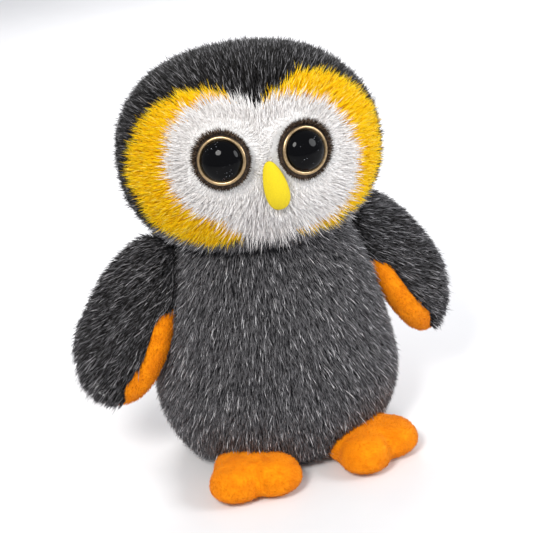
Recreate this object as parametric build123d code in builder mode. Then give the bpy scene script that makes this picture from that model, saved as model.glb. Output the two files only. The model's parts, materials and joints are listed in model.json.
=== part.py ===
"""Interactive plush owl: fur and stuffing over a drive case that flaps its wings and turns its head.

Origin at the middle of the base, on the surface it sits on. +Z up, the face looks along -Y. Millimetres.
"""

import math
import os

from build123d import *

# ---------------------------------------------------------------- driving dimensions
# Body: two half ellipsoids make an egg, wider than deep, cut level at the base and the neck seam
SEAM_Z = 156.0            # underside of the head
NECK_GAP = 0.4            # between the top of the body and the underside of the head
BODY_HALF_WIDTH = 77.0
BODY_DEPTH_RATIO = 0.86   # body depth over body width
BODY_WIDEST_Z = 50.0
BODY_DROP, BODY_RISE = 73.0, 147.0  # half heights of the lower and upper ellipsoids
COVER = 4.0               # fur fabric with its backing
NECK_HOLE_RADIUS = 17.0

# Head: a rounded form, wider than deep, turned and tilted as it sits at rest
HEAD_CENTRE = (0, 0, 207)
HEAD_HALF = (81, 67, 62)  # half width, half depth, half height
HEAD_TURN = -7.0          # degrees about the vertical
HEAD_TILT = 10.0          # degrees, face up
HEAD_ROLL = -2.5          # degrees about the way it faces

# Face colours, each made of overlapping discs: x, z and radius from the middle of the face
MASK_DISCS = [(-20, 3, 33.5), (18, -4, 37.5), (0, -13, 25)]   # two white lobes and the chin
CHEEK_DISCS = [(-29, -1, 46), (29, -1, 46)]
BROW_Z, BROW_SLOPE = 29.5, 0.6   # hood fur runs down between the cheeks to a point
CHIN_HALF_WIDTH = 14             # hood fur between the cheeks under the chin
PANEL_START = 8                  # the panels keep this far in front of the head's middle

EYE_X, EYE_Z = 24.5, 4
EYE_YAW, EYE_PITCH = 17.0, 3.0
EYE_RADIUS, EYE_HEIGHT = 13.4, 9.5
EYE_RING_RADIUS, EYE_RING_HEIGHT = 14.8, 2.2
LASH_RADIUS, LASH_HEIGHT = 17.0, 1.2
EYE_STEM_RADIUS, EYE_STEM_LENGTH = 2.5, 14.0
EYE_WASHER_RADIUS, EYE_WASHER_THICK = 9.0, 1.4

BEAK_X, BEAK_Z, BEAK_LEAN = 4.9, -14.5, 12.0
BEAK_HALF = (7.3, 15.5, 5.0)  # half width, half length, height

# Drive case
CASE_WALL = 2.0
CASE_BOTTOM, CASE_STEP, CASE_TOP = 4.0, 122.0, 151.5
CASE_LOW = (42, -26, 32)      # half width, front, back
CASE_HIGH = (40, -24, 24)
SHOULDER = (51, 8, 120.0)     # half width, half depth, bottom
CASE_CORNER = 8.0

# Gears, module 1
MODULE = 1.0
PRESSURE_ANGLE = 20.0
ADDENDUM, DEDENDUM = 0.75, 1.15
FLANK_RELIEF = 0.10           # taken off each flank for backlash
GEAR_WIDTH, DRIVE_WIDTH = 6.0, 5.0
SECTOR_TEETH = IDLER_TEETH = 36
PINION_TEETH = 12
BIG_TEETH = NECK_TEETH = 40
PIN_RADIUS, RUNNING = 2.0, 0.05
WING_X, WING_Z = 46.0, 145.0
SECTOR_START, SECTOR_END = 181.0, 238.0   # degrees that the toothed sector spans
ARM_HUB_RADIUS, ARM_HALF_WIDTH = 4.2, 3.0
ARM_ELBOW, ARM_TIP = (25.0, -8.0), (49.0, -43.0)   # across and up from the wing pin
PLATE_Y, PLATE_THICK = 10.0, 1.5

# Wings: stuffed pads, lined on the body side
WING_CENTRE = (97, 0, 104)
WING_HALF = (10, 26, 53)      # half thickness, half width, half length
WING_SPREAD, WING_FACE = 30.0, 45.0
WING_COVER = 3.0
LINING_EDGE = 2.0             # how far the lining wraps past the middle of the pad
ARMHOLE_X, ARMHOLE_HALF_Y, ARMHOLE_Z = (38, 75), 5, (131, 152)

# Feet
FOOT_CENTRE, FOOT_SPLAY = (40, -63), 13.0
FOOT_HEIGHT = 22.0
HEEL_RADIUS, HEEL_Y = 22.0, 6.0
TOE_RADIUS, TOE_X, TOE_Y = 14.5, 14.5, -10.0

# Batteries: three AA cells side by side, in a tray behind a screwed door
CELL_RADIUS, CELL_LENGTH, NUB_RADIUS, NUB_LENGTH = 7.1, 49.2, 2.75, 1.3
CELL_PITCH, CELL_Z = 15.2, 14.0
CONTACT_HALF, CONTACT_THICK = 5.0, 0.4
SPRING_WIRE, SPRING_RADIUS, SPRING_PITCH = 0.3, 3.2, 0.9
TRAY_X, TRAY_HALF_Y, TRAY_TOP, TRAY_CORNER = (-38, 30), 24, 25, 6.0
BAY_HALF_X, BAY_HALF_Y, BAY_TOP = 27.3, 22.8, 23.4
DOOR_CLEAR, DOOR_CORNER = 0.2, 1.5
DOOR_WINDOW_X, DOOR_WINDOW_HALF_Y = (-37, 28.5), 22.4
DOOR_SCREW_X, DOOR_SCREW_SHANK, DOOR_SCREW_LENGTH = -32.8, 1.25, 8.0
GRIP_RIDGES, GRIP_START_X, GRIP_HALF_Y = 6, 14.0, 9.0

# Power switch: a knob that slides front to back beside the door
SWITCH_X, SWITCH_HALF_X, SWITCH_HALF_Y, SWITCH_HEIGHT = 35.5, 3.5, 7.0, 5.0
KNOB_HALF_X, KNOB_HALF_Y, KNOB_TRAVEL = 1.5, 2.5, 3.0
KNOB_BOTTOM, KNOB_RIB = 1.6, 0.4
SLIDE_CLEAR = 0.3

# Screws, seats and bosses
SCREW_SHANK, SCREW_HEAD, SCREW_HEAD_HEIGHT = 1.5, 2.8, 2.4
SCREW_XZ = [(x, z) for x in (-36.5, 36.5) for z in (32.0, 74.0)]
SCREW_SEAT_Y, SCREW_TIP_Y = 8.0, -8.0
FRONT_BOSS, BACK_BOSS = 4.0, 4.6
PLATE_SCREW_XZ = [(x, z) for x in (-30.0, 34.0) for z in (66.0, 118.0)]
PLATE_BOSS, PLATE_SCREW_SHANK, PLATE_SCREW_HEAD = 3.2, 1.0, 2.2

# Electronics
BOARD_Y, BOARD_THICK, BOARD_HALF_X, BOARD_Z = 25.0, 1.6, 30.0, (29.0, 62.0)
BOARD_POST = 2.5
BOARD_XZ = [(x, z) for x in (-24, 24) for z in (34, 58)]
SPEAKER_Z, SPEAKER_RADIUS = 50.0, 20.0
SOUND_HOLE = 1.1
SOUND_RINGS = [(1, 0.0), (6, 5.0), (12, 10.0), (18, 15.0)]   # holes in each ring, and its radius
BUTTON_Z, BUTTON_RADIUS, BUTTON_STEM, BUTTON_COLLAR = 96.0, 11.0, 4.0, 6.5
BUTTON_FRONT_Y, BUTTON_THICK = -32.0, 3.0
TACT_HALF, TACT_FRONT_Y, TACT_PLUNGER = 3.0, -16.9, 1.7
TACT_BOARD_Y, TACT_BOARD_THICK = -13.4, 1.2
MICROPHONE_X, MICROPHONE_Z, MICROPHONE_RADIUS = 26.0, 92.0, 3.0

# Head drive
SHELF_X, SHELF_Z, SHELF_THICK = (-38, -4), 141.0, 1.5

SIDES = {"left": -1, "right": 1}
os.makedirs("parts", exist_ok=True)


def save(part, name):
    part.label = name
    export_step(part, f"parts/{name}.step")


# ---------------------------------------------------------------- shared forms
def ellipsoid(halves, keep=None):
    """An ellipsoid about the origin, or its half above or below."""
    with BuildPart() as form:
        Sphere(1.0)
        scale(by=halves)
        if keep:
            split(bisect_by=Plane.XY, keep=keep)
    return form.part


def egg(inset=0.0, top=SEAM_Z - NECK_GAP):
    """The body's form, drawn in by inset at its side and cut level at the base and at top."""
    width = BODY_HALF_WIDTH - inset
    depth = width * BODY_DEPTH_RATIO
    with BuildPart() as form:
        add(ellipsoid((width, depth, BODY_RISE), Keep.TOP).moved(Location((0, 0, BODY_WIDEST_Z))))
        split(bisect_by=Plane.XY.offset(top), keep=Keep.BOTTOM)
        add(ellipsoid((width, depth, BODY_DROP), Keep.BOTTOM).moved(Location((0, 0, BODY_WIDEST_Z))))
        split(bisect_by=Plane.XY, keep=Keep.TOP)
    return form.part


def head_plane():
    """The head's own frame at rest: X to its right as seen from the front, Z up through it."""
    turn, tilt, roll = math.radians(HEAD_TURN), math.radians(HEAD_TILT), math.radians(HEAD_ROLL)
    across = Vector(math.cos(turn), math.sin(turn), 0)
    up = Vector(-math.sin(turn) * math.sin(tilt), math.cos(turn) * math.sin(tilt), math.cos(tilt))
    x_dir = across * math.cos(roll) + up * math.sin(roll)
    z_dir = up * math.cos(roll) - across * math.sin(roll)
    return Plane(origin=HEAD_CENTRE, x_dir=x_dir, z_dir=z_dir)


HEAD_PLANE = head_plane()
FACE_PLANE = Plane(origin=HEAD_CENTRE, x_dir=HEAD_PLANE.x_dir, z_dir=-HEAD_PLANE.y_dir)


def head_form(inset, bottom):
    """The head's form, drawn in by inset all round and cut level at bottom."""
    halves = tuple(half - inset for half in HEAD_HALF)
    with BuildPart() as placed:
        add(ellipsoid(halves).moved(Location(HEAD_PLANE)))
        split(bisect_by=Plane.XY.offset(bottom), keep=Keep.TOP)
    return placed.part


def head_depth(x, z):
    """How far in front of the head's middle its surface stands at x, z on the face."""
    return HEAD_HALF[1] * math.sqrt(1 - (z / HEAD_HALF[2]) ** 2 - (x / HEAD_HALF[0]) ** 2)


def face_point(x, z, out=0.0):
    return FACE_PLANE.from_local_coords(Vector(x, z, head_depth(x, z) + out))


def seat(x, z, yaw, pitch, out):
    """A plane on the face at x, z whose normal is yawed outwards and pitched up."""
    normal = (
        HEAD_PLANE.y_dir * (-math.cos(math.radians(yaw)) * math.cos(math.radians(pitch)))
        + HEAD_PLANE.x_dir * (math.sin(math.radians(yaw)) * math.cos(math.radians(pitch)))
        + HEAD_PLANE.z_dir * math.sin(math.radians(pitch))
    )
    across = HEAD_PLANE.z_dir.cross(normal)
    return Plane(origin=face_point(x, z) + normal * out, x_dir=across, z_dir=normal)


# ---------------------------------------------------------------- gears
def front_plane(x, z, y):
    """A plane facing the front, whose sketch X and Y are the model's X and Z."""
    return Plane(origin=(x, y, z), x_dir=(1, 0, 0), z_dir=(0, -1, 0))


def mating_phase(teeth, phase, mate_teeth, direction):
    """First tooth angle of a gear that meshes, at direction degrees, with one of known phase."""
    pitch = 360 / teeth
    lead = (phase - direction) % pitch
    return 180 + direction - lead * teeth / mate_teeth + 180 / mate_teeth


def gear_outline(teeth, phase):
    """Corners of an involute gear with one tooth centred at phase degrees."""
    pitch_radius = MODULE * teeth / 2
    base = pitch_radius * math.cos(math.radians(PRESSURE_ANGLE))
    root, tip = pitch_radius - DEDENDUM * MODULE, pitch_radius + ADDENDUM * MODULE
    angle = math.radians(PRESSURE_ANGLE)
    half_tooth = math.pi / (2 * teeth) - FLANK_RELIEF / pitch_radius + math.tan(angle) - angle
    start = max(base, root)
    flank = [(root, half_tooth)] if root < base else []
    for step in range(5):
        radius = start + (tip - start) * step / 4
        roll = math.acos(min(1.0, base / radius))
        flank.append((radius, half_tooth - (math.tan(roll) - roll)))
    points = []
    for tooth in range(teeth):
        centre = math.radians(phase) + 2 * math.pi * tooth / teeth
        for radius, half in [(r, -h) for r, h in flank] + flank[::-1]:
            points.append((radius * math.cos(centre + half), radius * math.sin(centre + half)))
    return points


def gear(plane, teeth, phase, width, bore=0.0):
    with BuildPart() as wheel:
        with BuildSketch(plane):
            Polygon(*gear_outline(teeth, phase), align=None)
            if bore:
                Circle(bore, mode=Mode.SUBTRACT)
        extrude(amount=width)
    return wheel.part


def rod(plane, radius, length, bore=0.0):
    with BuildPart() as bar:
        with BuildSketch(plane):
            Circle(radius)
            if bore:
                Circle(bore, mode=Mode.SUBTRACT)
        extrude(amount=length)
    return bar.part


def block(x, y, z):
    """A block between two values on each axis."""
    with BuildPart() as brick:
        with BuildSketch(Plane.XY.offset(z[0])):
            with Locations(((x[0] + x[1]) / 2, (y[0] + y[1]) / 2)):
                Rectangle(x[1] - x[0], y[1] - y[0])
        extrude(amount=z[1] - z[0])
    return brick.part


# ---------------------------------------------------------------- where the drive sits
GEAR_PIN = 1.5
MOTOR_RADIUS, MOTOR_FLAT, MOTOR_BOSS = 7.75, 6.0, 1.9   # can radius, half across its flats, end boss radius
WING_MOTOR_LENGTH, TURN_MOTOR_LENGTH = 18.0, 20.0
IDLER_X = MODULE * IDLER_TEETH / 2
MESH_DROP = math.sqrt((MODULE * (SECTOR_TEETH + IDLER_TEETH) / 2) ** 2 - (WING_X - IDLER_X) ** 2)
IDLER_Z = WING_Z - MESH_DROP
WING_MESH = math.degrees(math.atan2(MESH_DROP, WING_X - IDLER_X))
REDUCTION_Z = IDLER_Z - MODULE * (IDLER_TEETH + PINION_TEETH) / 2
IDLER_PLACES = [(-IDLER_X, IDLER_Z), (IDLER_X, IDLER_Z)]
REDUCTION_PLACE = (IDLER_X, REDUCTION_Z)
DRIVE_CENTRES = MODULE * (BIG_TEETH + PINION_TEETH) / 2
MOTOR_DIRECTION = 180 + math.degrees(math.atan2(4, 3))
MOTOR_X = IDLER_X + DRIVE_CENTRES * math.cos(math.radians(MOTOR_DIRECTION))
MOTOR_Z = REDUCTION_Z + DRIVE_CENTRES * math.sin(math.radians(MOTOR_DIRECTION))
TURN_Y = -14.0
TURN_X = -math.sqrt(DRIVE_CENTRES**2 - TURN_Y**2)
TURN_DIRECTION = math.degrees(math.atan2(TURN_Y, TURN_X))
NECK_GEAR_Z = 143.5
POST_RADIUS, POST_BOTTOM, POST_TOP = 5.0, 142.2, 196.0
BUSH_RADIUS = 8.0
HALF_GEAR = GEAR_WIDTH / 2

IDLER_PHASE = {"right": 180.0, "left": mating_phase(IDLER_TEETH, 180.0, IDLER_TEETH, 180.0)}
WING_DIRECTION = {"right": WING_MESH, "left": 180 - WING_MESH}
WING_PHASE = {
    side: mating_phase(IDLER_TEETH, IDLER_PHASE[side], SECTOR_TEETH, WING_DIRECTION[side]) for side in SIDES
}
SMALL_PHASE = mating_phase(IDLER_TEETH, IDLER_PHASE["right"], PINION_TEETH, -90.0)
MOTOR_PHASE = mating_phase(BIG_TEETH, 0.0, PINION_TEETH, MOTOR_DIRECTION)
TURN_PHASE = mating_phase(NECK_TEETH, 0.0, PINION_TEETH, TURN_DIRECTION)


# ---------------------------------------------------------------- drive case
def case_form(inset):
    """The drive case: a wide lower box, a narrower top, and two shoulders that carry the wing pins."""
    low, high = CASE_LOW, CASE_HIGH
    with BuildPart() as lower:
        add(block((-low[0] + inset, low[0] - inset), (low[1] + inset, low[2] - inset),
                  (CASE_BOTTOM + inset, CASE_STEP - inset)))
        fillet(lower.edges().filter_by(Axis.Z), CASE_CORNER - inset)
    with BuildPart() as upper:
        add(block((-high[0] + inset, high[0] - inset), (high[1] + inset, high[2] - inset),
                  (CASE_STEP - 3 * CASE_WALL, CASE_TOP - inset)))
        fillet(upper.edges().filter_by(Axis.Z), CASE_CORNER - inset)
    half, depth, bottom = SHOULDER
    with BuildPart() as form:
        add(lower.part)
        add(upper.part)
        add(block((-half + inset, half - inset), (-depth + inset, depth - inset),
                  (bottom + inset, CASE_TOP - inset)))
    return form.part


def case_shell():
    """The hollow case with its openings, before it is cut into its two halves."""
    slot_half = HALF_GEAR + 0.5
    knob_slot_x, knob_slot_y = KNOB_HALF_X + SLIDE_CLEAR, KNOB_HALF_Y + KNOB_TRAVEL / 2 + SLIDE_CLEAR
    below, above = CASE_BOTTOM - 1, CASE_BOTTOM + CASE_WALL + 1
    with BuildPart() as shell:
        add(case_form(0))
        add(case_form(CASE_WALL), mode=Mode.SUBTRACT)
        for side in (-1, 1):
            x = sorted((side * (SHOULDER[0] - 2 * CASE_WALL), side * (SHOULDER[0] + 1)))
            add(block(x, (-slot_half, slot_half), (ARMHOLE_Z[0], CASE_TOP - CASE_WALL)), mode=Mode.SUBTRACT)
            pin_hole = rod(front_plane(side * WING_X, WING_Z, SHOULDER[1]), PIN_RADIUS, 2 * SHOULDER[1])
            add(pin_hole, mode=Mode.SUBTRACT)
        add(rod(Plane.XY.offset(CASE_TOP - 2 * CASE_WALL), BUSH_RADIUS, 3 * CASE_WALL), mode=Mode.SUBTRACT)
        door_window = block(DOOR_WINDOW_X, (-DOOR_WINDOW_HALF_Y, DOOR_WINDOW_HALF_Y), (below, above))
        add(door_window, mode=Mode.SUBTRACT)
        knob_slot = block((SWITCH_X - knob_slot_x, SWITCH_X + knob_slot_x), (-knob_slot_y, knob_slot_y),
                          (below, above))
        add(knob_slot, mode=Mode.SUBTRACT)
    return shell.part


def build_housing_front(shell):
    inner = CASE_LOW[1] + CASE_WALL
    post_half, post_top = 1.5, BUTTON_Z - 5
    with BuildPart() as front:
        add(shell)
        split(bisect_by=Plane.XZ, keep=Keep.TOP)
        for x, z in SCREW_XZ:
            add(rod(front_plane(x, z, 0), FRONT_BOSS, -inner))
        # Shelf under the neck gear that carries the head-turning motor
        add(block(SHELF_X, (CASE_HIGH[1] + 1, -5.0), (SHELF_Z, SHELF_Z + SHELF_THICK)))
        # Bosses and shelf end at the case's rounded corners
        add(case_form(0), mode=Mode.INTERSECT)
        for x, z in SCREW_XZ:
            add(rod(front_plane(x, z, 0), SCREW_SHANK, -SCREW_TIP_Y), mode=Mode.SUBTRACT)
        add(rod(Plane((TURN_X, TURN_Y, SHELF_Z - 1)), MOTOR_BOSS + 0.1, 4), mode=Mode.SUBTRACT)
        # Posts for the button's switch board, and a collar that guides the button's stem
        for x in (-7, 7):
            add(block((x - post_half, x + post_half), (inner - 1, TACT_BOARD_Y), (post_top - 3, post_top)))
        add(rod(front_plane(0, BUTTON_Z, inner + 3), BUTTON_COLLAR, 3.0))
        add(rod(front_plane(0, BUTTON_Z, inner + 4), BUTTON_STEM + RUNNING, 8.0), mode=Mode.SUBTRACT)
        add(rod(front_plane(MICROPHONE_X, MICROPHONE_Z, inner + 1), 1.0, 4.0), mode=Mode.SUBTRACT)
        for count, ring in SOUND_RINGS:
            with BuildSketch(front_plane(0, SPEAKER_Z, inner + 1)):
                with PolarLocations(ring, count):
                    Circle(SOUND_HOLE)
            extrude(amount=4, mode=Mode.SUBTRACT)
    save(front.part, "housing_front")


def build_housing_back(shell):
    outer, inner = CASE_LOW[2], CASE_LOW[2] - CASE_WALL
    into_wall = inner + 1
    with BuildPart() as back:
        add(shell)
        split(bisect_by=Plane.XZ, keep=Keep.BOTTOM)
        for x, z in SCREW_XZ:
            add(rod(front_plane(x, z, into_wall), BACK_BOSS, into_wall))
        add(case_form(0), mode=Mode.INTERSECT)
        for x, z in SCREW_XZ:
            head_well = rod(front_plane(x, z, outer + 1), SCREW_HEAD + 0.3, outer + 1 - SCREW_SEAT_Y)
            add(head_well, mode=Mode.SUBTRACT)
            add(rod(front_plane(x, z, outer), SCREW_SHANK + 0.1, outer), mode=Mode.SUBTRACT)
        for x, z in PLATE_SCREW_XZ:
            add(rod(front_plane(x, z, into_wall), PLATE_BOSS, into_wall - PLATE_Y - PLATE_THICK))
            add(rod(front_plane(x, z, inner), PLATE_SCREW_SHANK, inner), mode=Mode.SUBTRACT)
        for x, z in BOARD_XZ:
            add(rod(front_plane(x, z, into_wall), BOARD_POST, into_wall - BOARD_Y - BOARD_THICK))
    save(back.part, "housing_back")


def build_case():
    shell = case_shell()
    build_housing_front(shell)
    build_housing_back(shell)
    with BuildPart() as screws:
        for x, z in SCREW_XZ:
            add(rod(front_plane(x, z, SCREW_SEAT_Y + SCREW_HEAD_HEIGHT), SCREW_HEAD, SCREW_HEAD_HEIGHT))
            add(rod(front_plane(x, z, SCREW_SEAT_Y), SCREW_SHANK, SCREW_SEAT_Y - SCREW_TIP_Y))
    save(screws.part, "housing_screws")


# ---------------------------------------------------------------- power
def build_cells():
    """Three cells, turned end for end, with a flat contact at each end and a spring at each negative end."""
    rows = [(-CELL_PITCH, 1), (0, -1), (CELL_PITCH, 1)]   # each cell's place and the way its nub points
    contact_x = BAY_HALF_X - CONTACT_THICK
    cell_start = contact_x - NUB_LENGTH - CELL_LENGTH
    spring_height = contact_x + cell_start - 2 * SPRING_WIRE
    with BuildPart() as cells:
        for y, facing in rows:
            along = Plane(origin=(facing * cell_start, y, CELL_Z), x_dir=(0, 1, 0), z_dir=(facing, 0, 0))
            add(rod(along, CELL_RADIUS, CELL_LENGTH))
            add(rod(along.offset(CELL_LENGTH), NUB_RADIUS, NUB_LENGTH))
    save(cells.part, "battery_cells")

    with BuildPart() as plates:
        for side in (-1, 1):
            x = sorted((side * contact_x, side * BAY_HALF_X))
            for y, _ in rows:
                add(block(x, (y - CONTACT_HALF, y + CONTACT_HALF),
                          (CELL_Z - CONTACT_HALF, CELL_Z + CONTACT_HALF)))
    save(plates.part, "battery_contacts")

    with BuildPart() as spring:
        with BuildLine() as coil:
            Helix(pitch=SPRING_PITCH, height=spring_height, radius=SPRING_RADIUS)
        with BuildSketch(Plane(origin=coil.line @ 0, z_dir=coil.line % 0)):
            Circle(SPRING_WIRE)
        sweep(path=coil.line, is_frenet=True)
    with BuildPart() as springs:
        for y, facing in rows:
            foot = Plane(origin=(-facing * (contact_x - SPRING_WIRE), y, CELL_Z), x_dir=(0, 1, 0),
                         z_dir=(facing, 0, 0))
            add(spring.part.moved(Location(foot)))
    save(springs.part, "battery_springs")


def build_battery_door():
    with BuildPart() as door:
        add(block((DOOR_WINDOW_X[0] + DOOR_CLEAR, DOOR_WINDOW_X[1] - DOOR_CLEAR),
                  (DOOR_CLEAR - DOOR_WINDOW_HALF_Y, DOOR_WINDOW_HALF_Y - DOOR_CLEAR),
                  (CASE_BOTTOM, CASE_BOTTOM + CASE_WALL)))
        fillet(door.edges().filter_by(Axis.Z), DOOR_CORNER)
        screw_place = Plane((DOOR_SCREW_X, 0, CASE_BOTTOM))
        add(rod(screw_place, SCREW_HEAD + 0.2, 1.2), mode=Mode.SUBTRACT)
        add(rod(screw_place, DOOR_SCREW_SHANK + 0.15, 3), mode=Mode.SUBTRACT)
        for ridge in range(GRIP_RIDGES):
            x = GRIP_START_X + 2 * ridge
            add(block((x, x + 1), (-GRIP_HALF_Y, GRIP_HALF_Y), (CASE_BOTTOM, CASE_BOTTOM + 0.5)),
                mode=Mode.SUBTRACT)
    save(door.part, "battery_door")

    slot_half, slot_reach, slot_depth = 0.35, 2.0, 0.7
    with BuildPart() as door_screw:
        add(rod(screw_place.offset(0.1), SCREW_HEAD, 1.1))
        add(rod(screw_place.offset(1.2), DOOR_SCREW_SHANK, DOOR_SCREW_LENGTH))
        for reach_x, reach_y in ((slot_reach, slot_half), (slot_half, slot_reach)):
            add(block((DOOR_SCREW_X - reach_x, DOOR_SCREW_X + reach_x), (-reach_y, reach_y),
                      (CASE_BOTTOM, CASE_BOTTOM + slot_depth)), mode=Mode.SUBTRACT)
    save(door_screw.part, "door_screw")


def build_power():
    floor = CASE_BOTTOM + CASE_WALL
    with BuildPart() as tray:
        add(block(TRAY_X, (-TRAY_HALF_Y, TRAY_HALF_Y), (floor, TRAY_TOP)))
        fillet(tray.edges().filter_by(Axis.Z), TRAY_CORNER)
        bay = block((-BAY_HALF_X, BAY_HALF_X), (-BAY_HALF_Y, BAY_HALF_Y), (CASE_BOTTOM, BAY_TOP))
        add(bay, mode=Mode.SUBTRACT)
        add(rod(Plane((DOOR_SCREW_X, 0, CASE_BOTTOM)), DOOR_SCREW_SHANK, 10), mode=Mode.SUBTRACT)
    save(tray.part, "battery_tray")
    build_cells()
    build_battery_door()

    slot_x, slot_y = KNOB_HALF_X + SLIDE_CLEAR, KNOB_HALF_Y + KNOB_TRAVEL / 2 + SLIDE_CLEAR
    knob_top = floor + 1.7
    with BuildPart() as switch:
        add(block((SWITCH_X - SWITCH_HALF_X, SWITCH_X + SWITCH_HALF_X), (-SWITCH_HALF_Y, SWITCH_HALF_Y),
                  (floor, floor + SWITCH_HEIGHT)))
        add(block((SWITCH_X - slot_x, SWITCH_X + slot_x), (-slot_y, slot_y), (floor, knob_top + SLIDE_CLEAR)),
            mode=Mode.SUBTRACT)
    save(switch.part, "switch_body")
    rest_y = -KNOB_TRAVEL / 2
    with BuildPart() as knob:
        add(block((SWITCH_X - KNOB_HALF_X, SWITCH_X + KNOB_HALF_X),
                  (rest_y - KNOB_HALF_Y, rest_y + KNOB_HALF_Y), (KNOB_BOTTOM, knob_top)))
        for y in (-1.4, 0.0, 1.4):
            groove = block((SWITCH_X - 2, SWITCH_X + 2), (rest_y + y - 0.25, rest_y + y + 0.25),
                           (KNOB_BOTTOM, KNOB_BOTTOM + KNOB_RIB))
            add(groove, mode=Mode.SUBTRACT)
    save(knob.part, "power_knob")


# ---------------------------------------------------------------- board, speaker, microphone and button
def build_board():
    with BuildPart() as board:
        add(block((-BOARD_HALF_X, BOARD_HALF_X), (BOARD_Y, BOARD_Y + BOARD_THICK), BOARD_Z))
        fillet(board.edges().filter_by(Axis.Y), 2.0)
    save(board.part, "circuit_board")
    with BuildPart() as chips:
        # Sealed voice chip, memory chip, two capacitors and three plug sockets
        add(rod(front_plane(-10, 45, BOARD_Y), 6.0, 1.8))
        add(block((6, 14), (BOARD_Y - 1.5, BOARD_Y), (40, 50)))
        for x in (-22, 20):
            add(rod(front_plane(x, 45, BOARD_Y), 3.0, 7.0))
        for x in (-18, 0, 18):
            add(block((x - 4, x + 4), (BOARD_Y - 5, BOARD_Y), (54, 59)))
    save(chips.part, "board_components")


def build_speaker():
    """Basket with its magnet cup and the paper cone inside it, revolved about the front-to-back axis."""
    face = CASE_LOW[1] + CASE_WALL
    lip, throat, magnet = 16.0, 8.0, 11.0
    with BuildPart() as basket:
        with BuildSketch(Plane.XY):
            with BuildLine():
                Polyline((SPEAKER_RADIUS, face), (SPEAKER_RADIUS, face + 2), (lip + 1.5, face + 2),
                         (magnet, face + 7), (magnet, face + 12), (0, face + 12), (0, face + 8),
                         (throat, face + 8), (throat, face + 6), (lip, face + 1), (lip, face),
                         (SPEAKER_RADIUS, face))
            make_face()
        revolve(axis=Axis.Y)
    save(basket.part.moved(Location((0, 0, SPEAKER_Z))), "speaker_basket")
    rim, dust_cap = lip - 0.2, 6.0
    with BuildPart() as cone:
        with BuildSketch(Plane.XY):
            with BuildLine():
                Polyline((rim, face + 0.8), (rim, face + 0.4), (dust_cap, face + 5), (0, face + 4),
                         (0, face + 4.5), (dust_cap, face + 5.5), (rim, face + 0.8))
            make_face()
        revolve(axis=Axis.Y)
    save(cone.part.moved(Location((0, 0, SPEAKER_Z))), "speaker_cone")
    with BuildPart() as microphone:
        add(rod(front_plane(MICROPHONE_X, MICROPHONE_Z, face + 2.5), MICROPHONE_RADIUS, 2.5))
    save(microphone.part, "microphone")


def build_button():
    """A wide button felt through the fur, its stem, and the small switch that it presses."""
    cap_back = BUTTON_FRONT_Y + BUTTON_THICK
    stem_end = TACT_FRONT_Y - 2.7
    with BuildPart() as button:
        add(rod(front_plane(0, BUTTON_Z, cap_back), BUTTON_RADIUS, BUTTON_THICK))
        fillet(button.edges().group_by(Axis.Y)[0], 1.0)
        add(rod(front_plane(0, BUTTON_Z, stem_end), BUTTON_STEM, stem_end - cap_back))
    save(button.part, "press_button")
    with BuildPart() as switch_board:
        add(block((-9, 9), (TACT_BOARD_Y, TACT_BOARD_Y + TACT_BOARD_THICK), (BUTTON_Z - 9, BUTTON_Z + 7)))
    save(switch_board.part, "button_board")
    with BuildPart() as tact:
        add(block((-TACT_HALF, TACT_HALF), (TACT_FRONT_Y, TACT_BOARD_Y),
                  (BUTTON_Z - TACT_HALF, BUTTON_Z + TACT_HALF)))
        add(rod(front_plane(0, BUTTON_Z, TACT_FRONT_Y), TACT_PLUNGER, 0.5))
    save(tact.part, "button_switch")


# ---------------------------------------------------------------- motors, gears and pins
def motor(plane, length):
    """A flat-sided can and its end boss; the plane is its mounting face and looks along the boss."""
    with BuildPart() as can:
        with BuildSketch(plane):
            Circle(MOTOR_RADIUS)
            Rectangle(20, 2 * MOTOR_FLAT, mode=Mode.INTERSECT)
        extrude(amount=-length)
        add(rod(plane, MOTOR_BOSS, 1.2))
    return can.part


def headed_pins(places, length):
    """Gear pins from the back of the plate to in front of the gears, each with a retaining head."""
    with BuildPart() as pins:
        for x, z in places:
            add(rod(front_plane(x, z, PLATE_Y + PLATE_THICK), GEAR_PIN, length))
            add(rod(front_plane(x, z, -HALF_GEAR - 0.3), GEAR_PIN + 1.0, 0.6))
    return pins.part


def build_gear_plate():
    through = 20
    with BuildPart() as plate:
        add(block((-36, 38), (PLATE_Y, PLATE_Y + PLATE_THICK), (62, 134)))
        fillet(plate.edges().filter_by(Axis.Y), 3.0)
        for x, z in IDLER_PLACES + [REDUCTION_PLACE]:
            add(rod(front_plane(x, z, through), GEAR_PIN, through), mode=Mode.SUBTRACT)
        for x, z in PLATE_SCREW_XZ:
            add(rod(front_plane(x, z, through), PLATE_SCREW_SHANK + 0.2, through), mode=Mode.SUBTRACT)
        add(rod(front_plane(MOTOR_X, MOTOR_Z, through), MOTOR_BOSS + 0.1, through), mode=Mode.SUBTRACT)
        # Notches round the two upper bosses of the back housing
        for x, z in SCREW_XZ:
            add(rod(front_plane(x, z, through), BACK_BOSS + 0.4, through), mode=Mode.SUBTRACT)
    save(plate.part, "gear_plate")
    with BuildPart() as plate_screws:
        for x, z in PLATE_SCREW_XZ:
            add(rod(front_plane(x, z, PLATE_Y), PLATE_SCREW_HEAD, 1.6))
            add(rod(front_plane(x, z, PLATE_Y + 8), PLATE_SCREW_SHANK, 8))
    save(plate_screws.part, "plate_screws")


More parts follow.
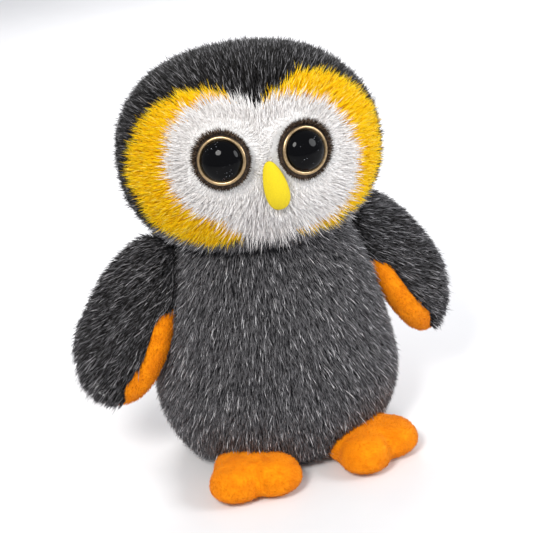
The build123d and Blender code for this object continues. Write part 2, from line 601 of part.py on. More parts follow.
def build_drive():
    pin_length = PLATE_Y + PLATE_THICK + HALF_GEAR + 1
    save(headed_pins(IDLER_PLACES, pin_length), "idler_pins")
    save(headed_pins([REDUCTION_PLACE], pin_length), "reduction_pin")
    with BuildPart() as wing_pins:
        for side in (-1, 1):
            add(rod(front_plane(side * WING_X, WING_Z, SHOULDER[1]), PIN_RADIUS, 2 * SHOULDER[1]))
    save(wing_pins.part, "wing_pins")

    bore = GEAR_PIN + RUNNING
    for side, sign in SIDES.items():
        plane = front_plane(sign * IDLER_X, IDLER_Z, HALF_GEAR)
        save(gear(plane, IDLER_TEETH, IDLER_PHASE[side], GEAR_WIDTH, bore), f"idler_gear_{side}")
    big_back, big_front = PLATE_Y - 0.8, HALF_GEAR + 0.5
    with BuildPart() as reduction:
        add(gear(front_plane(*REDUCTION_PLACE, big_front), PINION_TEETH, SMALL_PHASE, GEAR_WIDTH + 0.5))
        add(gear(front_plane(*REDUCTION_PLACE, big_back), BIG_TEETH, 0.0, big_back - big_front))
        add(rod(front_plane(*REDUCTION_PLACE, PLATE_Y), bore, 2 * PLATE_Y), mode=Mode.SUBTRACT)
    save(reduction.part, "reduction_gear")

    save(motor(front_plane(MOTOR_X, MOTOR_Z, PLATE_Y + PLATE_THICK), WING_MOTOR_LENGTH), "wing_motor")
    pinion_plane = front_plane(MOTOR_X, MOTOR_Z, big_back)
    save(gear(pinion_plane, PINION_TEETH, MOTOR_PHASE, big_back - big_front), "wing_pinion")
    save(motor(Plane((TURN_X, TURN_Y, SHELF_Z)), TURN_MOTOR_LENGTH), "turn_motor")
    save(gear(Plane((TURN_X, TURN_Y, NECK_GEAR_Z)), PINION_TEETH, TURN_PHASE, DRIVE_WIDTH), "turn_pinion")

    with BuildPart() as bush:
        add(rod(Plane.XY.offset(CASE_TOP - CASE_WALL), BUSH_RADIUS, CASE_WALL, POST_RADIUS + RUNNING))
        add(rod(Plane.XY.offset(CASE_TOP), BUSH_RADIUS + 2.5, 1.5, POST_RADIUS + RUNNING))
    save(bush.part, "neck_bush")


# ---------------------------------------------------------------- wings
def wing_plane(sign):
    """The wing's own frame: X through its thickness, outwards, and Z up its length."""
    spread, face = math.radians(WING_SPREAD), math.radians(WING_FACE)
    out = (sign * math.cos(spread) * math.cos(face), -math.sin(face), math.sin(spread) * math.cos(face))
    up = (-sign * math.sin(spread), 0, math.cos(spread))
    centre = (sign * WING_CENTRE[0], WING_CENTRE[1], WING_CENTRE[2])
    return Plane(origin=centre, x_dir=out, z_dir=up)


def wing_form(inset):
    """The pad's form about the origin: X through its thickness, Z up its length."""
    return ellipsoid(tuple(half - inset for half in WING_HALF))


def wing_arm(sign, phase):
    """Toothed sector, hub and the bar that runs out into the wing, as one moulding."""
    hub = front_plane(sign * WING_X, WING_Z, HALF_GEAR)
    start, end = (SECTOR_START, SECTOR_END) if sign > 0 else (180 - SECTOR_END, 180 - SECTOR_START)
    reach = 30.0   # past the teeth
    with BuildPart() as arm:
        with BuildSketch(hub):
            with BuildLine():
                corners = [(reach * math.cos(math.radians(a)), reach * math.sin(math.radians(a)))
                           for a in (start, (start + end) / 2, end)]
                Polyline((0, 0), *corners, (0, 0))
            make_face()
            Polygon(*gear_outline(SECTOR_TEETH, phase), align=None, mode=Mode.INTERSECT)
            Circle(ARM_HUB_RADIUS)
        extrude(amount=GEAR_WIDTH)
        elbow = (sign * ARM_ELBOW[0], ARM_ELBOW[1])
        tip = (sign * ARM_TIP[0], ARM_TIP[1])
        with BuildSketch(hub.offset(1)):
            for first, last in (((0, 0), elbow), (elbow, tip)):
                with BuildLine():
                    Line(first, last)
                trace(line_width=2 * ARM_HALF_WIDTH)
            with Locations(elbow, tip):
                Circle(ARM_HALF_WIDTH)
        extrude(amount=GEAR_WIDTH - 2)
        add(rod(hub.offset(-1), PIN_RADIUS + RUNNING, GEAR_WIDTH + 2), mode=Mode.SUBTRACT)
    return arm.part


def build_wings():
    for side, sign in SIDES.items():
        arm = wing_arm(sign, WING_PHASE[side])
        save(arm, f"wing_arm_{side}")
        place = Location(wing_plane(sign))
        arm_in_wing = arm.moved(place.inverse())
        for name, keep in (("fur", Keep.TOP), ("lining", Keep.BOTTOM)):
            with BuildPart() as cover:
                add(wing_form(0))
                add(wing_form(WING_COVER), mode=Mode.SUBTRACT)
                add(arm_in_wing, mode=Mode.SUBTRACT)
                split(bisect_by=Plane.YZ.offset(LINING_EDGE), keep=keep)
            save(cover.part.moved(place), f"wing_{name}_{side}")
        with BuildPart() as filling:
            add(wing_form(WING_COVER))
            add(arm_in_wing, mode=Mode.SUBTRACT)
        save(filling.part.moved(place), f"wing_stuffing_{side}")


# ---------------------------------------------------------------- head
def outline(discs):
    """Overlapping discs, standing from just in front of the head's middle out far past its face."""
    with BuildPart() as prism:
        with BuildSketch(FACE_PLANE.offset(PANEL_START)):
            for x, z, radius in discs:
                with Locations((x, z)):
                    Circle(radius)
        extrude(amount=2 * HEAD_HALF[1])
    return prism.part


def build_head():
    with BuildPart() as cover:
        add(head_form(0, SEAM_Z))
        add(head_form(COVER, SEAM_Z + COVER), mode=Mode.SUBTRACT)
        add(rod(Plane.XY.offset(SEAM_Z - 1), NECK_HOLE_RADIUS, COVER + 2), mode=Mode.SUBTRACT)
        for sign in (-1, 1):
            add(rod(eye_seat(sign, 0.5), EYE_STEM_RADIUS, -EYE_STEM_LENGTH), mode=Mode.SUBTRACT)
    mask = outline(MASK_DISCS)
    top, side = HEAD_HALF[2] + 1, (HEAD_HALF[2] + 1 - BROW_Z) / BROW_SLOPE
    with BuildPart() as cheeks:
        add(outline(CHEEK_DISCS))
        add(mask, mode=Mode.SUBTRACT)
        with BuildSketch(FACE_PLANE):
            Polygon((0, BROW_Z), (side, top), (-side, top), align=None)
            with Locations((0, -top / 2)):
                Rectangle(2 * CHIN_HALF_WIDTH, top)
        extrude(amount=2 * HEAD_HALF[1], mode=Mode.SUBTRACT)
    with BuildPart() as face_mask:
        add(cover.part)
        add(mask, mode=Mode.INTERSECT)
    save(face_mask.part, "face_mask")
    with BuildPart() as cheek_panels:
        add(cover.part)
        add(cheeks.part, mode=Mode.INTERSECT)
    save(cheek_panels.part, "cheek_panels")
    with BuildPart() as hood:
        add(cover.part)
        add(mask, mode=Mode.SUBTRACT)
        add(cheeks.part, mode=Mode.SUBTRACT)
    save(hood.part, "head_hood")

    plate_bottom = SEAM_Z + COVER
    with BuildPart() as post:
        add(rod(Plane.XY.offset(POST_BOTTOM), POST_RADIUS, POST_TOP - POST_BOTTOM))
    save(post.part, "neck_post")
    with BuildPart() as neck_gear:
        add(gear(Plane.XY.offset(NECK_GEAR_Z), NECK_TEETH, 0.0, DRIVE_WIDTH, POST_RADIUS))
    save(neck_gear.part, "neck_gear")
    with BuildPart() as plate:
        with BuildSketch(Plane.XY.offset(plate_bottom)):
            Circle(28)
            Circle(POST_RADIUS, mode=Mode.SUBTRACT)
            with PolarLocations(21, 8):
                Circle(3.5, mode=Mode.SUBTRACT)
        extrude(amount=2)
        add(rod(Plane.XY.offset(plate_bottom + 2), 8.0, 8.0, POST_RADIUS))
    save(plate.part, "head_plate")

    with BuildPart() as washers:
        for sign in (-1, 1):
            add(rod(eye_seat(sign, -COVER - 3.0), EYE_WASHER_RADIUS, -EYE_WASHER_THICK, EYE_STEM_RADIUS))
    save(washers.part, "eye_washers")
    with BuildPart() as stuffing:
        add(head_form(COVER, plate_bottom))
        for sign in (-1, 1):
            add(rod(eye_seat(sign, 0.5), EYE_STEM_RADIUS, -EYE_STEM_LENGTH - 0.5), mode=Mode.SUBTRACT)
        for piece in (post.part, plate.part, washers.part):
            add(piece, mode=Mode.SUBTRACT)
    save(stuffing.part, "head_stuffing")


def eye_seat(sign, out):
    return seat(sign * EYE_X, EYE_Z, sign * EYE_YAW, EYE_PITCH, out)


def build_eyes_and_beak():
    cap_radius = (EYE_RADIUS**2 + EYE_HEIGHT**2) / (2 * EYE_HEIGHT)
    cap_start = math.degrees(math.acos(EYE_RADIUS / cap_radius))
    for side, sign in SIDES.items():
        base = eye_seat(sign, 0.5)
        front = base.offset(LASH_HEIGHT)
        with BuildPart() as dome:
            section = Plane(origin=front.origin, x_dir=front.x_dir, z_dir=front.x_dir.cross(front.z_dir))
            with BuildSketch(section):
                with BuildLine():
                    CenterArc((0, EYE_HEIGHT - cap_radius), cap_radius, cap_start, 90 - cap_start)
                    Polyline((0, EYE_HEIGHT), (0, 0), (EYE_RADIUS, 0))
                make_face()
            revolve(axis=Axis(front.origin, front.z_dir))
            add(rod(front, EYE_STEM_RADIUS, -EYE_STEM_LENGTH))
        save(dome.part, f"eye_dome_{side}")
        with BuildPart() as ring:
            add(rod(front, EYE_RING_RADIUS, EYE_RING_HEIGHT, EYE_RADIUS))
            outer_edges = ring.edges().filter_by(lambda edge: edge.radius > EYE_RADIUS + 0.1 if edge.geom_type
                                                 == GeomType.CIRCLE else False)
            fillet(outer_edges.sort_by(Axis(front.origin, front.z_dir))[-1], 1.0)
        save(ring.part, f"eye_ring_{side}")
        with BuildPart() as lash:
            add(rod(base, LASH_RADIUS, LASH_HEIGHT, EYE_STEM_RADIUS))
        save(lash.part, f"eye_lash_{side}")

    with BuildPart() as beak:
        Sphere(1.0)
        scale(by=BEAK_HALF)
        split(bisect_by=Plane.XY, keep=Keep.TOP)
    beak_seat = seat(BEAK_X, BEAK_Z, 3.0, -8.0, 0.6).rotated((0, 0, BEAK_LEAN))
    with BuildPart() as sewn:
        add(beak.part.moved(Location(beak_seat)))
        add(head_form(0, SEAM_Z), mode=Mode.SUBTRACT)
    save(sewn.part, "beak")


# ---------------------------------------------------------------- body covers, stuffing and feet
def armholes():
    x, half_y = ARMHOLE_X, ARMHOLE_HALF_Y
    return [block(sorted((sign * x[0], sign * x[1])), (-half_y, half_y), ARMHOLE_Z) for sign in (-1, 1)]


def build_base_pad():
    """Firm cloth-covered ring that the toy sits on, open in the middle for the battery door and switch."""
    width = (BODY_HALF_WIDTH - COVER) * math.sqrt(1 - (BODY_WIDEST_Z / BODY_DROP) ** 2)
    window_x = (DOOR_WINDOW_X[0] - 1, SWITCH_X + 5)
    with BuildPart() as base:
        with BuildSketch(Plane.XY):
            Ellipse(width, width * BODY_DEPTH_RATIO)
            with Locations(((window_x[0] + window_x[1]) / 2, 0)):
                RectangleRounded(window_x[1] - window_x[0], 2 * DOOR_WINDOW_HALF_Y + 1, 4, mode=Mode.SUBTRACT)
        extrude(amount=CASE_BOTTOM)
    save(base.part, "base_pad")


def build_foot(side, sign):
    """A round heel with two round toes, flat underneath and rounded on top."""
    place = Plane((sign * FOOT_CENTRE[0], FOOT_CENTRE[1], 0)).rotated((0, 0, sign * FOOT_SPLAY))
    with BuildPart() as foot:
        with BuildSketch(place):
            with Locations((0, HEEL_Y)):
                Circle(HEEL_RADIUS)
            with Locations((-TOE_X, TOE_Y), (TOE_X, TOE_Y)):
                Circle(TOE_RADIUS)
        extrude(amount=FOOT_HEIGHT)
        fillet(foot.edges().group_by(Axis.Z)[-1], 5.0)
        add(egg(), mode=Mode.SUBTRACT)
    save(foot.part, f"foot_{side}")


def build_body():
    top = SEAM_Z - NECK_GAP
    with BuildPart() as cover:
        add(egg())
        add(egg(COVER, top - COVER), mode=Mode.SUBTRACT)
        add(rod(Plane.XY.offset(top - COVER - 1), NECK_HOLE_RADIUS, COVER + 2), mode=Mode.SUBTRACT)
        for hole in armholes():
            add(hole, mode=Mode.SUBTRACT)
    save(cover.part, "body_plush")

    with BuildPart() as filling:
        add(egg(COVER, CASE_TOP))
        add(block((-80, 80), (-80, 80), (-1, CASE_BOTTOM)), mode=Mode.SUBTRACT)
        add(case_form(0), mode=Mode.SUBTRACT)
        button_well = rod(front_plane(0, BUTTON_Z, CASE_LOW[1] + 1), BUTTON_RADIUS + 1.5, 10)
        add(button_well, mode=Mode.SUBTRACT)
        for hole in armholes():
            add(hole, mode=Mode.SUBTRACT)
    save(filling.part, "body_stuffing")
    build_base_pad()
    for side, sign in SIDES.items():
        build_foot(side, sign)


build_case()
build_power()
build_board()
build_speaker()
build_button()
build_gear_plate()
build_drive()
build_wings()
build_head()
build_eyes_and_beak()
build_body()
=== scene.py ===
import json
import math

import bpy
import numpy as np
from mathutils import Matrix, Vector


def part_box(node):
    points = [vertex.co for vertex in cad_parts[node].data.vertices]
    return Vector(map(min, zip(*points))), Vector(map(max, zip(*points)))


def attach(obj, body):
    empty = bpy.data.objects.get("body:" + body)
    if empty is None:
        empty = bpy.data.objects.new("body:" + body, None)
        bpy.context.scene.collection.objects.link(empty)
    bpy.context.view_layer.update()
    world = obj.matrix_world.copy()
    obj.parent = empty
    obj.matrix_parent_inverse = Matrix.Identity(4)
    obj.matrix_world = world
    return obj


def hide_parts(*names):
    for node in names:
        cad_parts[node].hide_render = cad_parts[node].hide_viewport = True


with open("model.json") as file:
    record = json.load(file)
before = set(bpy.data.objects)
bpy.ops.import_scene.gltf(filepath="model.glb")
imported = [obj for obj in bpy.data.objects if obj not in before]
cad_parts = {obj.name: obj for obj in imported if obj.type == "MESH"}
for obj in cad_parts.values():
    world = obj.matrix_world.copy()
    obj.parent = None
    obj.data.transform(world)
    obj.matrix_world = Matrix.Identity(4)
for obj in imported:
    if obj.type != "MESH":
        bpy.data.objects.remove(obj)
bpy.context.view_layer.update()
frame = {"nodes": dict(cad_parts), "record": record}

rng = np.random.default_rng(17)

# ---------------------------------------------------------------- sizes, in metres, close to those of the CAD
SEAM_Z = 0.156                 # where the head's cover meets the body's
CLOTH, WING_CLOTH = 0.003, 0.002   # thickness of the covers

# Head: a rounded block, turned and tilted as in the photo
HEAD_CENTRE = np.array((0.0, 0.0, 0.207))
HEAD_HALF = np.array((0.0795, 0.0655, 0.0630))
HEAD_POWER = 2.22
HEAD_TURN, HEAD_TILT, HEAD_ROLL = math.radians(-7.0), math.radians(10.0), math.radians(-2.5)
HEAD_FLOOR_Z = SEAM_Z + 0.0005
HEAD_ROWS, HEAD_COLUMNS = 120, 200
FACE_CENTRE_Z = -0.004         # the pile of the face runs outwards from here

# Face colours, each made of overlapping discs: x, z and radius from the middle of the head
MASK_DISCS = ((-0.020, 0.003, 0.0335), (0.018, -0.004, 0.0375), (0.002, -0.0175, 0.0275))
CHEEK_DISCS = ((-0.031, -0.0025, 0.0435), (0.030, 0.0, 0.0445))
BROW_Z, BROW_SLOPE = 0.0295, 0.6
CHIN_Z, CHIN_HALF_WIDTH = -0.020, 0.014

# Eyes
EYE_RADIUS, EYE_HEIGHT, EYE_BACK = 0.0128, 0.0085, -0.0005
RING_INNER, RING_OUTER, RING_HALF_HEIGHT, RING_LIFT = 0.0124, 0.0149, 0.0012, 0.0008
RING_MIDDLE = 0.0011           # the ring's box is centred this far in front of its seat
LASH_DROP = 0.0034             # from the ring's middle down to the cloth under the lash
LASH_PRESS, LASH_REACH = (0.0215, 0.0175), 0.03   # where the cloth is pressed in round the eye
FELT_PROFILE = (               # radius and height of the felt under the lash, a closed loop
    (0.0118, -0.0012), (0.0168, -0.0014), (0.0172, -0.0006), (0.0160, 0.0002), (0.0118, 0.0002),
    (0.0118, -0.0012))
LASH_ROOTS, LASH_ROOT_DROP = (0.0142, 0.0166), 0.0008
LASH_HAIRS, LASH_LENGTH, LASH_FULLNESS = 2000, 0.0040, (0.85, 0.55)   # least fullness and its gain
LASH_FULLEST = {"left": math.radians(125.0), "right": math.radians(55.0)}
AXIS_GAP = 0.00005             # keeps the points of a revolved form off its axis

# Beak: across, up and through the felt
BEAK_AT, BEAK_HALF, BEAK_LEAN = (0.0049, -0.0145), (0.0073, 0.0040, 0.0157), math.radians(12.0)
BEAK_FULLNESS, BEAK_BELLY = 0.85, 0.22
BEAK_STAND_OFF = 0.0045        # from the cloth of the face to the middle of the felt
BEAK_SEAT = (0.0062, 0.0140)   # half width and half height of the patch without pile behind it

# Body: an egg, flatter from front to back
BODY_HALF_WIDTH, BODY_DEPTH_RATIO = 0.0765, 0.86
BODY_WIDEST_Z, BODY_DROP, BODY_RISE = 0.050, 0.073, 0.147
BODY_BOTTOM_Z, BODY_TOP_Z = 0.0006, SEAM_Z - 0.0006
BODY_ROWS, BODY_COLUMNS = 90, 160
SEAT_BULGE, SEAT_FADE = 0.0035, (0.090, 0.045)   # the filling settles and pushes the lower body out
BODY_OUTWARD = np.array((1, 1.3, 0))   # scales a point into about the outward direction of the oval
NECK_HOLE, NECK_START, NECK_ROWS = 0.017, 0.97, 8
WAVES_BASE, WAVES_TOP = (0.004, 0.02), (SEAM_Z, 0.14)   # the unevenness fades out at both ends
ARMHOLE_X, ARMHOLE_HALF_DEPTH, ARMHOLE_LOW, ARMHOLE_HIGH = 0.045, 0.0055, 0.1335, 0.151

# Wings: a rounded paddle on each shoulder
WING_CENTRE = np.array((0.0945, 0.001, 0.1035))
WING_HALF = np.array((0.0125, 0.0305, 0.0550))
WING_POWER = 2.35
WING_ROWS, WING_COLUMNS = 90, 110
WING_SPREAD, WING_FACE = math.radians(30.0), math.radians(45.0)
WING_NARROWING, WING_THINNING = (0.14, 0.05), 0.10
WING_BOW = 0.0045              # how far the tip bends in towards the body
SHOULDER_RISE = 0.13
LINING_EDGE, LINING_WRAP = 0.0025, 0.0085   # the lining wraps furthest round the front edge
WRAP_FORWARD, WRAP_TOP, WRAP_TIP = (0.1, 0.9), (0.75, 0.2), (-0.95, -0.55)   # shares of the half sizes
FOLD_TOP, FOLD_TIP = (0.30, 0.70), (-0.70, -0.95)
SHOULDER_FOLD, TIP_FOLD = {"left": 0.0090, "right": 0.0040}, 0.0040

# Feet: a heel and two toes, each a disc of x, y and radius from the middle of the foot
FOOT_HEIGHT = 0.0235
FOOT_CENTRE = (0.040, -0.061)
FOOT_SPLAY = {"left": math.radians(8.0), "right": math.radians(26.0)}
FOOT_DISCS = ((0.0, 0.005, 0.0255), (-0.0135, -0.0085, 0.0165), (0.0135, -0.0085, 0.0165))
FOOT_ROWS, FOOT_COLUMNS = 40, 144
FOOT_WAIST, FOOT_ROUNDNESS = 0.38, 0.55     # height of the widest ring as a share, and how full the sides are
FOOT_POLE = 0.004                           # the first and last rings as a share of the outline
FOOT_SOFTENING = 6                          # times that the notches of the outline are smoothed
FOOT_SOLE_Z, FOOT_INSIDE_Z = 0.0002, 0.004
CREASE_HALF_WIDTH, CREASE_DEPTH, CREASE_Y = 0.0050, 0.0030, (-0.010, -0.024)
FOOT_COVER = (0.021, -0.02, 0.014)          # half width, front limit and height of the body behind a foot

# Unevenness of the surfaces: distance between waves, their height and a seed. Head and wings: a share of size
BODY_WAVES = (0.07, 0.0009, 3)
HEAD_WAVES = (0.09, 0.008, 5)
WING_WAVES = (0.05, 0.012, 7)
FOOT_WAVES = (0.02, 0.0004, 21)
FUR_EDGE_WAVES = (0.012, 0.0012, 11)
WAVE_COUNT, WAVE_PEAK = 6, 3.5


# ---------------------------------------------------------------- small maths
def unit(v):
    return v / np.maximum(np.linalg.norm(v, axis=-1, keepdims=True), 1e-12)


def smooth(a, b, x):
    t = np.clip((x - a) / (b - a), 0, 1)
    return t * t * (3 - 2 * t)


def frame_axes(x_dir, z_dir):
    """Columns are a local frame's X, Y and Z."""
    x_dir, z_dir = unit(np.array(x_dir, float)), unit(np.array(z_dir, float))
    return np.stack([x_dir, np.cross(z_dir, x_dir), z_dir], axis=1)


def head_axes():
    across = np.array((math.cos(HEAD_TURN), math.sin(HEAD_TURN), 0.0))
    up = np.array((-math.sin(HEAD_TURN) * math.sin(HEAD_TILT), math.cos(HEAD_TURN) * math.sin(HEAD_TILT),
                   math.cos(HEAD_TILT)))
    return frame_axes(across * math.cos(HEAD_ROLL) + up * math.sin(HEAD_ROLL),
                      up * math.cos(HEAD_ROLL) - across * math.sin(HEAD_ROLL))


HEAD_AXES = head_axes()


def wing_axes(sign):
    out = (sign * math.cos(WING_SPREAD) * math.cos(WING_FACE), -math.sin(WING_FACE),
           math.sin(WING_SPREAD) * math.cos(WING_FACE))
    return frame_axes(out, (-sign * math.sin(WING_SPREAD), 0, math.cos(WING_SPREAD)))


def head_local(points):
    return (points - HEAD_CENTRE) @ HEAD_AXES


def tangent(normals, wish):
    """The wished direction laid flat on the surface."""
    flat = wish - normals * (wish * normals).sum(1, keepdims=True)
    return unit(flat)


def ripple(points, waves, variant=0):
    """A smooth, seeded unevenness: a few crossed waves."""
    spacing, height, seed = waves
    source = np.random.default_rng(seed + variant)
    total = np.zeros(len(points))
    for _ in range(WAVE_COUNT):
        direction = unit(source.normal(size=3)) * source.uniform(0.6, 1.6) * 2 * math.pi / spacing
        total += np.sin(points @ direction + source.uniform(0, 2 * math.pi))
    return total / WAVE_PEAK * height


def rounded_block(half, power, rows, columns):
    """Points of a form between an ellipsoid and a box, row by row from its top."""
    pole = 0.001
    v = np.linspace(pole, math.pi - pole, rows)[:, None]
    u = np.linspace(0, 2 * math.pi, columns, endpoint=False)[None]
    across, forward, up = np.sin(v) * np.cos(u), np.sin(v) * np.sin(u), np.cos(v) * np.ones_like(u)
    directions = np.stack([across, forward, up], axis=-1).reshape(-1, 3)
    size = (np.abs(directions) ** power).sum(1) ** (-1 / power)
    return directions * size[:, None] * half


# ---------------------------------------------------------------- meshes
def make_mesh(name, verts, faces, material):
    mesh = bpy.data.meshes.new(name)
    mesh.from_pydata([tuple(v) for v in verts], [], [tuple(f) for f in faces])
    mesh.materials.append(material)
    mesh.polygons.foreach_set("use_smooth", np.ones(len(mesh.polygons), bool))
    mesh.validate()
    mesh.update()
    piece = bpy.data.objects.new(name, mesh)
    bpy.context.scene.collection.objects.link(piece)
    return piece


def clean_loose(piece):
    """Drops the points that no face of this quad mesh uses."""
    used = np.zeros(len(piece.data.vertices), bool)
    loops = np.zeros(len(piece.data.loops), np.int32)
    piece.data.loops.foreach_get("vertex_index", loops)
    used[loops] = True
    index = np.cumsum(used) - 1
    co = np.zeros(len(used) * 3, np.float32)
    piece.data.vertices.foreach_get("co", co)
    faces = index[loops].reshape(-1, 4)
    mesh = bpy.data.meshes.new(piece.name)
    mesh.from_pydata(co.reshape(-1, 3)[used].tolist(), [], faces.tolist())
    mesh.materials.append(piece.data.materials[0])
    mesh.polygons.foreach_set("use_smooth", np.ones(len(mesh.polygons), bool))
    piece.data = mesh


def thicken(piece, thickness):
    """Gives a cloth surface its thickness, so that it is a closed shell."""
    solid = piece.modifiers.new("thickness", "SOLIDIFY")
    solid.thickness = thickness
    solid.offset = -1.0
    depsgraph = bpy.context.evaluated_depsgraph_get()
    mesh = bpy.data.meshes.new_from_object(piece.evaluated_get(depsgraph))
    piece.modifiers.clear()
    piece.data = mesh


def grid_faces(rows, columns):
    """Quads of a grid of points stored row by row, each row closed into a ring."""
    faces = []
    for row in range(rows - 1):
        for column in range(columns):
            a, b = row * columns + column, row * columns + (column + 1) % columns
            faces.append((a, b, b + columns, a + columns))
    return np.array(faces)


def turned(profile, middle, normal, up, columns=72):
    """Revolves (radius, height) points about the normal."""
    profile = np.array(profile)
    side = np.cross(up, normal)
    angle = np.linspace(0, 2 * math.pi, columns, endpoint=False)
    ring = np.cos(angle)[:, None] * side + np.sin(angle)[:, None] * up
    verts = middle + profile[:, 0, None, None] * ring[None] + profile[:, 1, None, None] * normal
    return verts.reshape(-1, 3), grid_faces(len(profile), columns)


def surface_samples(verts, faces, per_cm2, inside):
    """Random points on a quad mesh, evenly by area, with their normals, which face away from inside."""
    tris = np.concatenate([faces[:, [0, 1, 2]], faces[:, [0, 2, 3]]])
    a, b, c = verts[tris[:, 0]], verts[tris[:, 1]], verts[tris[:, 2]]
    cross = np.cross(b - a, c - a)
    area = np.linalg.norm(cross, axis=1) / 2
    point_normals = np.zeros_like(verts)
    for corner in range(3):
        np.add.at(point_normals, tris[:, corner], cross)
    point_normals = unit(point_normals)
    count = int(area.sum() * 1e4 * per_cm2)
    pick = rng.choice(len(tris), count, p=area / area.sum())
    u, v = rng.random(count), rng.random(count)
    flip = u + v > 1
    u[flip], v[flip] = 1 - u[flip], 1 - v[flip]
    weights = np.stack([1 - u - v, u, v], axis=1)[:, :, None]
    points = (verts[tris[pick]] * weights).sum(1)
    normals = unit((point_normals[tris[pick]] * weights).sum(1))
    normals[((points - inside) * normals).sum(1) < 0] *= -1
    return points, normals


# ---------------------------------------------------------------- materials
def principled(name):
    material = bpy.data.materials.new(name)
    material.use_nodes = True
    return material, material.node_tree, material.node_tree.nodes["Principled BSDF"]


def set_inputs(node, values):
    for name, value in values.items():
        node.inputs[name].default_value = value


def add_texture(tree, kind, values):
    """A texture that follows the piece, in metres."""
    coords = tree.nodes.new("ShaderNodeTexCoord")
    texture = tree.nodes.new(kind)
    set_inputs(texture, values)
    tree.links.new(coords.outputs["Object"], texture.inputs["Vector"])
    return texture


def add_tones(tree, shader, share, dark, light, low=0.0, high=1.0):
    """Base colour from dark to light while share goes from low to high."""
    ramp = tree.nodes.new("ShaderNodeValToRGB")
    for element, position, colour in zip(ramp.color_ramp.elements, (low, high), (dark, light)):
        element.position = position
        element.color = (*colour, 1)
    tree.links.new(share, ramp.inputs["Fac"])
    tree.links.new(ramp.outputs["Color"], shader.inputs["Base Color"])


def add_relief(tree, shader, height, strength, distance):
    relief = tree.nodes.new("ShaderNodeBump")
    set_inputs(relief, {"Strength": strength, "Distance": distance})
    tree.links.new(height, relief.inputs["Height"])
    tree.links.new(relief.outputs["Normal"], shader.inputs["Normal"])


def hair_material(name, colour):
    """One tone of pile: many thin hairs give the variation, so each tone is even."""
    material, _, shader = principled(name)
    set_inputs(shader, {"Base Color": (*colour, 1), "Roughness": 0.6, "Specular IOR Level": 0.1})
    material.diffuse_color = (*colour, 1)
    return material


def mottled_material(name, dark, light, scale, roughness, bump, metallic=0.0, coat=0.0):
    """Two tones broken up by noise, which also varies the gloss and gives the relief."""
    material, tree, shader = principled(name)
    noise = add_texture(tree, "ShaderNodeTexNoise", {"Scale": scale, "Detail": 6.0, "Roughness": 0.65})
    add_tones(tree, shader, noise.outputs["Fac"], dark, light, 0.3, 0.7)
    gloss = tree.nodes.new("ShaderNodeMapRange")
    set_inputs(gloss, {"To Min": max(0.02, roughness - 0.08), "To Max": min(1.0, roughness + 0.08)})
    tree.links.new(noise.outputs["Fac"], gloss.inputs["Value"])
    tree.links.new(gloss.outputs["Result"], shader.inputs["Roughness"])
    add_relief(tree, shader, noise.outputs["Fac"], bump, 0.0004)
    set_inputs(shader, {"Metallic": metallic, "Coat Weight": coat})
    material.diffuse_color = (*light, 1)
    return material


def fleece_material(name, dark, light):
    """Short brushed pile: fine grain over soft, pressed patches."""
    material, tree, shader = principled(name)
    grain = add_texture(tree, "ShaderNodeTexNoise", {"Scale": 2600, "Detail": 3})
    patches = add_texture(tree, "ShaderNodeTexNoise", {"Scale": 90, "Detail": 4, "Distortion": 0.6})
    blend = tree.nodes.new("ShaderNodeMix")
    set_inputs(blend, {"Factor": 0.45})
    tree.links.new(patches.outputs["Fac"], blend.inputs["A"])
    tree.links.new(grain.outputs["Fac"], blend.inputs["B"])
    add_tones(tree, shader, blend.outputs["Result"], dark, light, 0.32, 0.62)
    add_relief(tree, shader, blend.outputs["Result"], 0.5, 0.0006)
    set_inputs(shader, {"Roughness": 0.9, "Specular IOR Level": 0.1, "Sheen Weight": 0.05})
    return material


def eye_material():
    """Glossy black with patches of fine silver glitter."""
    material, tree, shader = principled("eye_black")
    cells = add_texture(tree, "ShaderNodeTexVoronoi", {"Scale": 620})
    dots = tree.nodes.new("ShaderNodeMath")
    dots.operation = "LESS_THAN"
    dots.inputs[1].default_value = 0.13
    tree.links.new(cells.outputs["Distance"], dots.inputs[0])
    drift = add_texture(tree, "ShaderNodeTexNoise", {"Scale": 95})
    patch = tree.nodes.new("ShaderNodeMapRange")
    set_inputs(patch, {"From Min": 0.52, "From Max": 0.72})
    tree.links.new(drift.outputs["Fac"], patch.inputs["Value"])
    glitter = tree.nodes.new("ShaderNodeMath")
    glitter.operation = "MULTIPLY"
    tree.links.new(dots.outputs["Value"], glitter.inputs[0])
    tree.links.new(patch.outputs["Result"], glitter.inputs[1])
    add_tones(tree, shader, glitter.outputs["Value"], (0.0015, 0.0015, 0.002), (0.40, 0.42, 0.46))
    set_inputs(shader, {"Roughness": 0.05, "Specular IOR Level": 0.09})
    return material


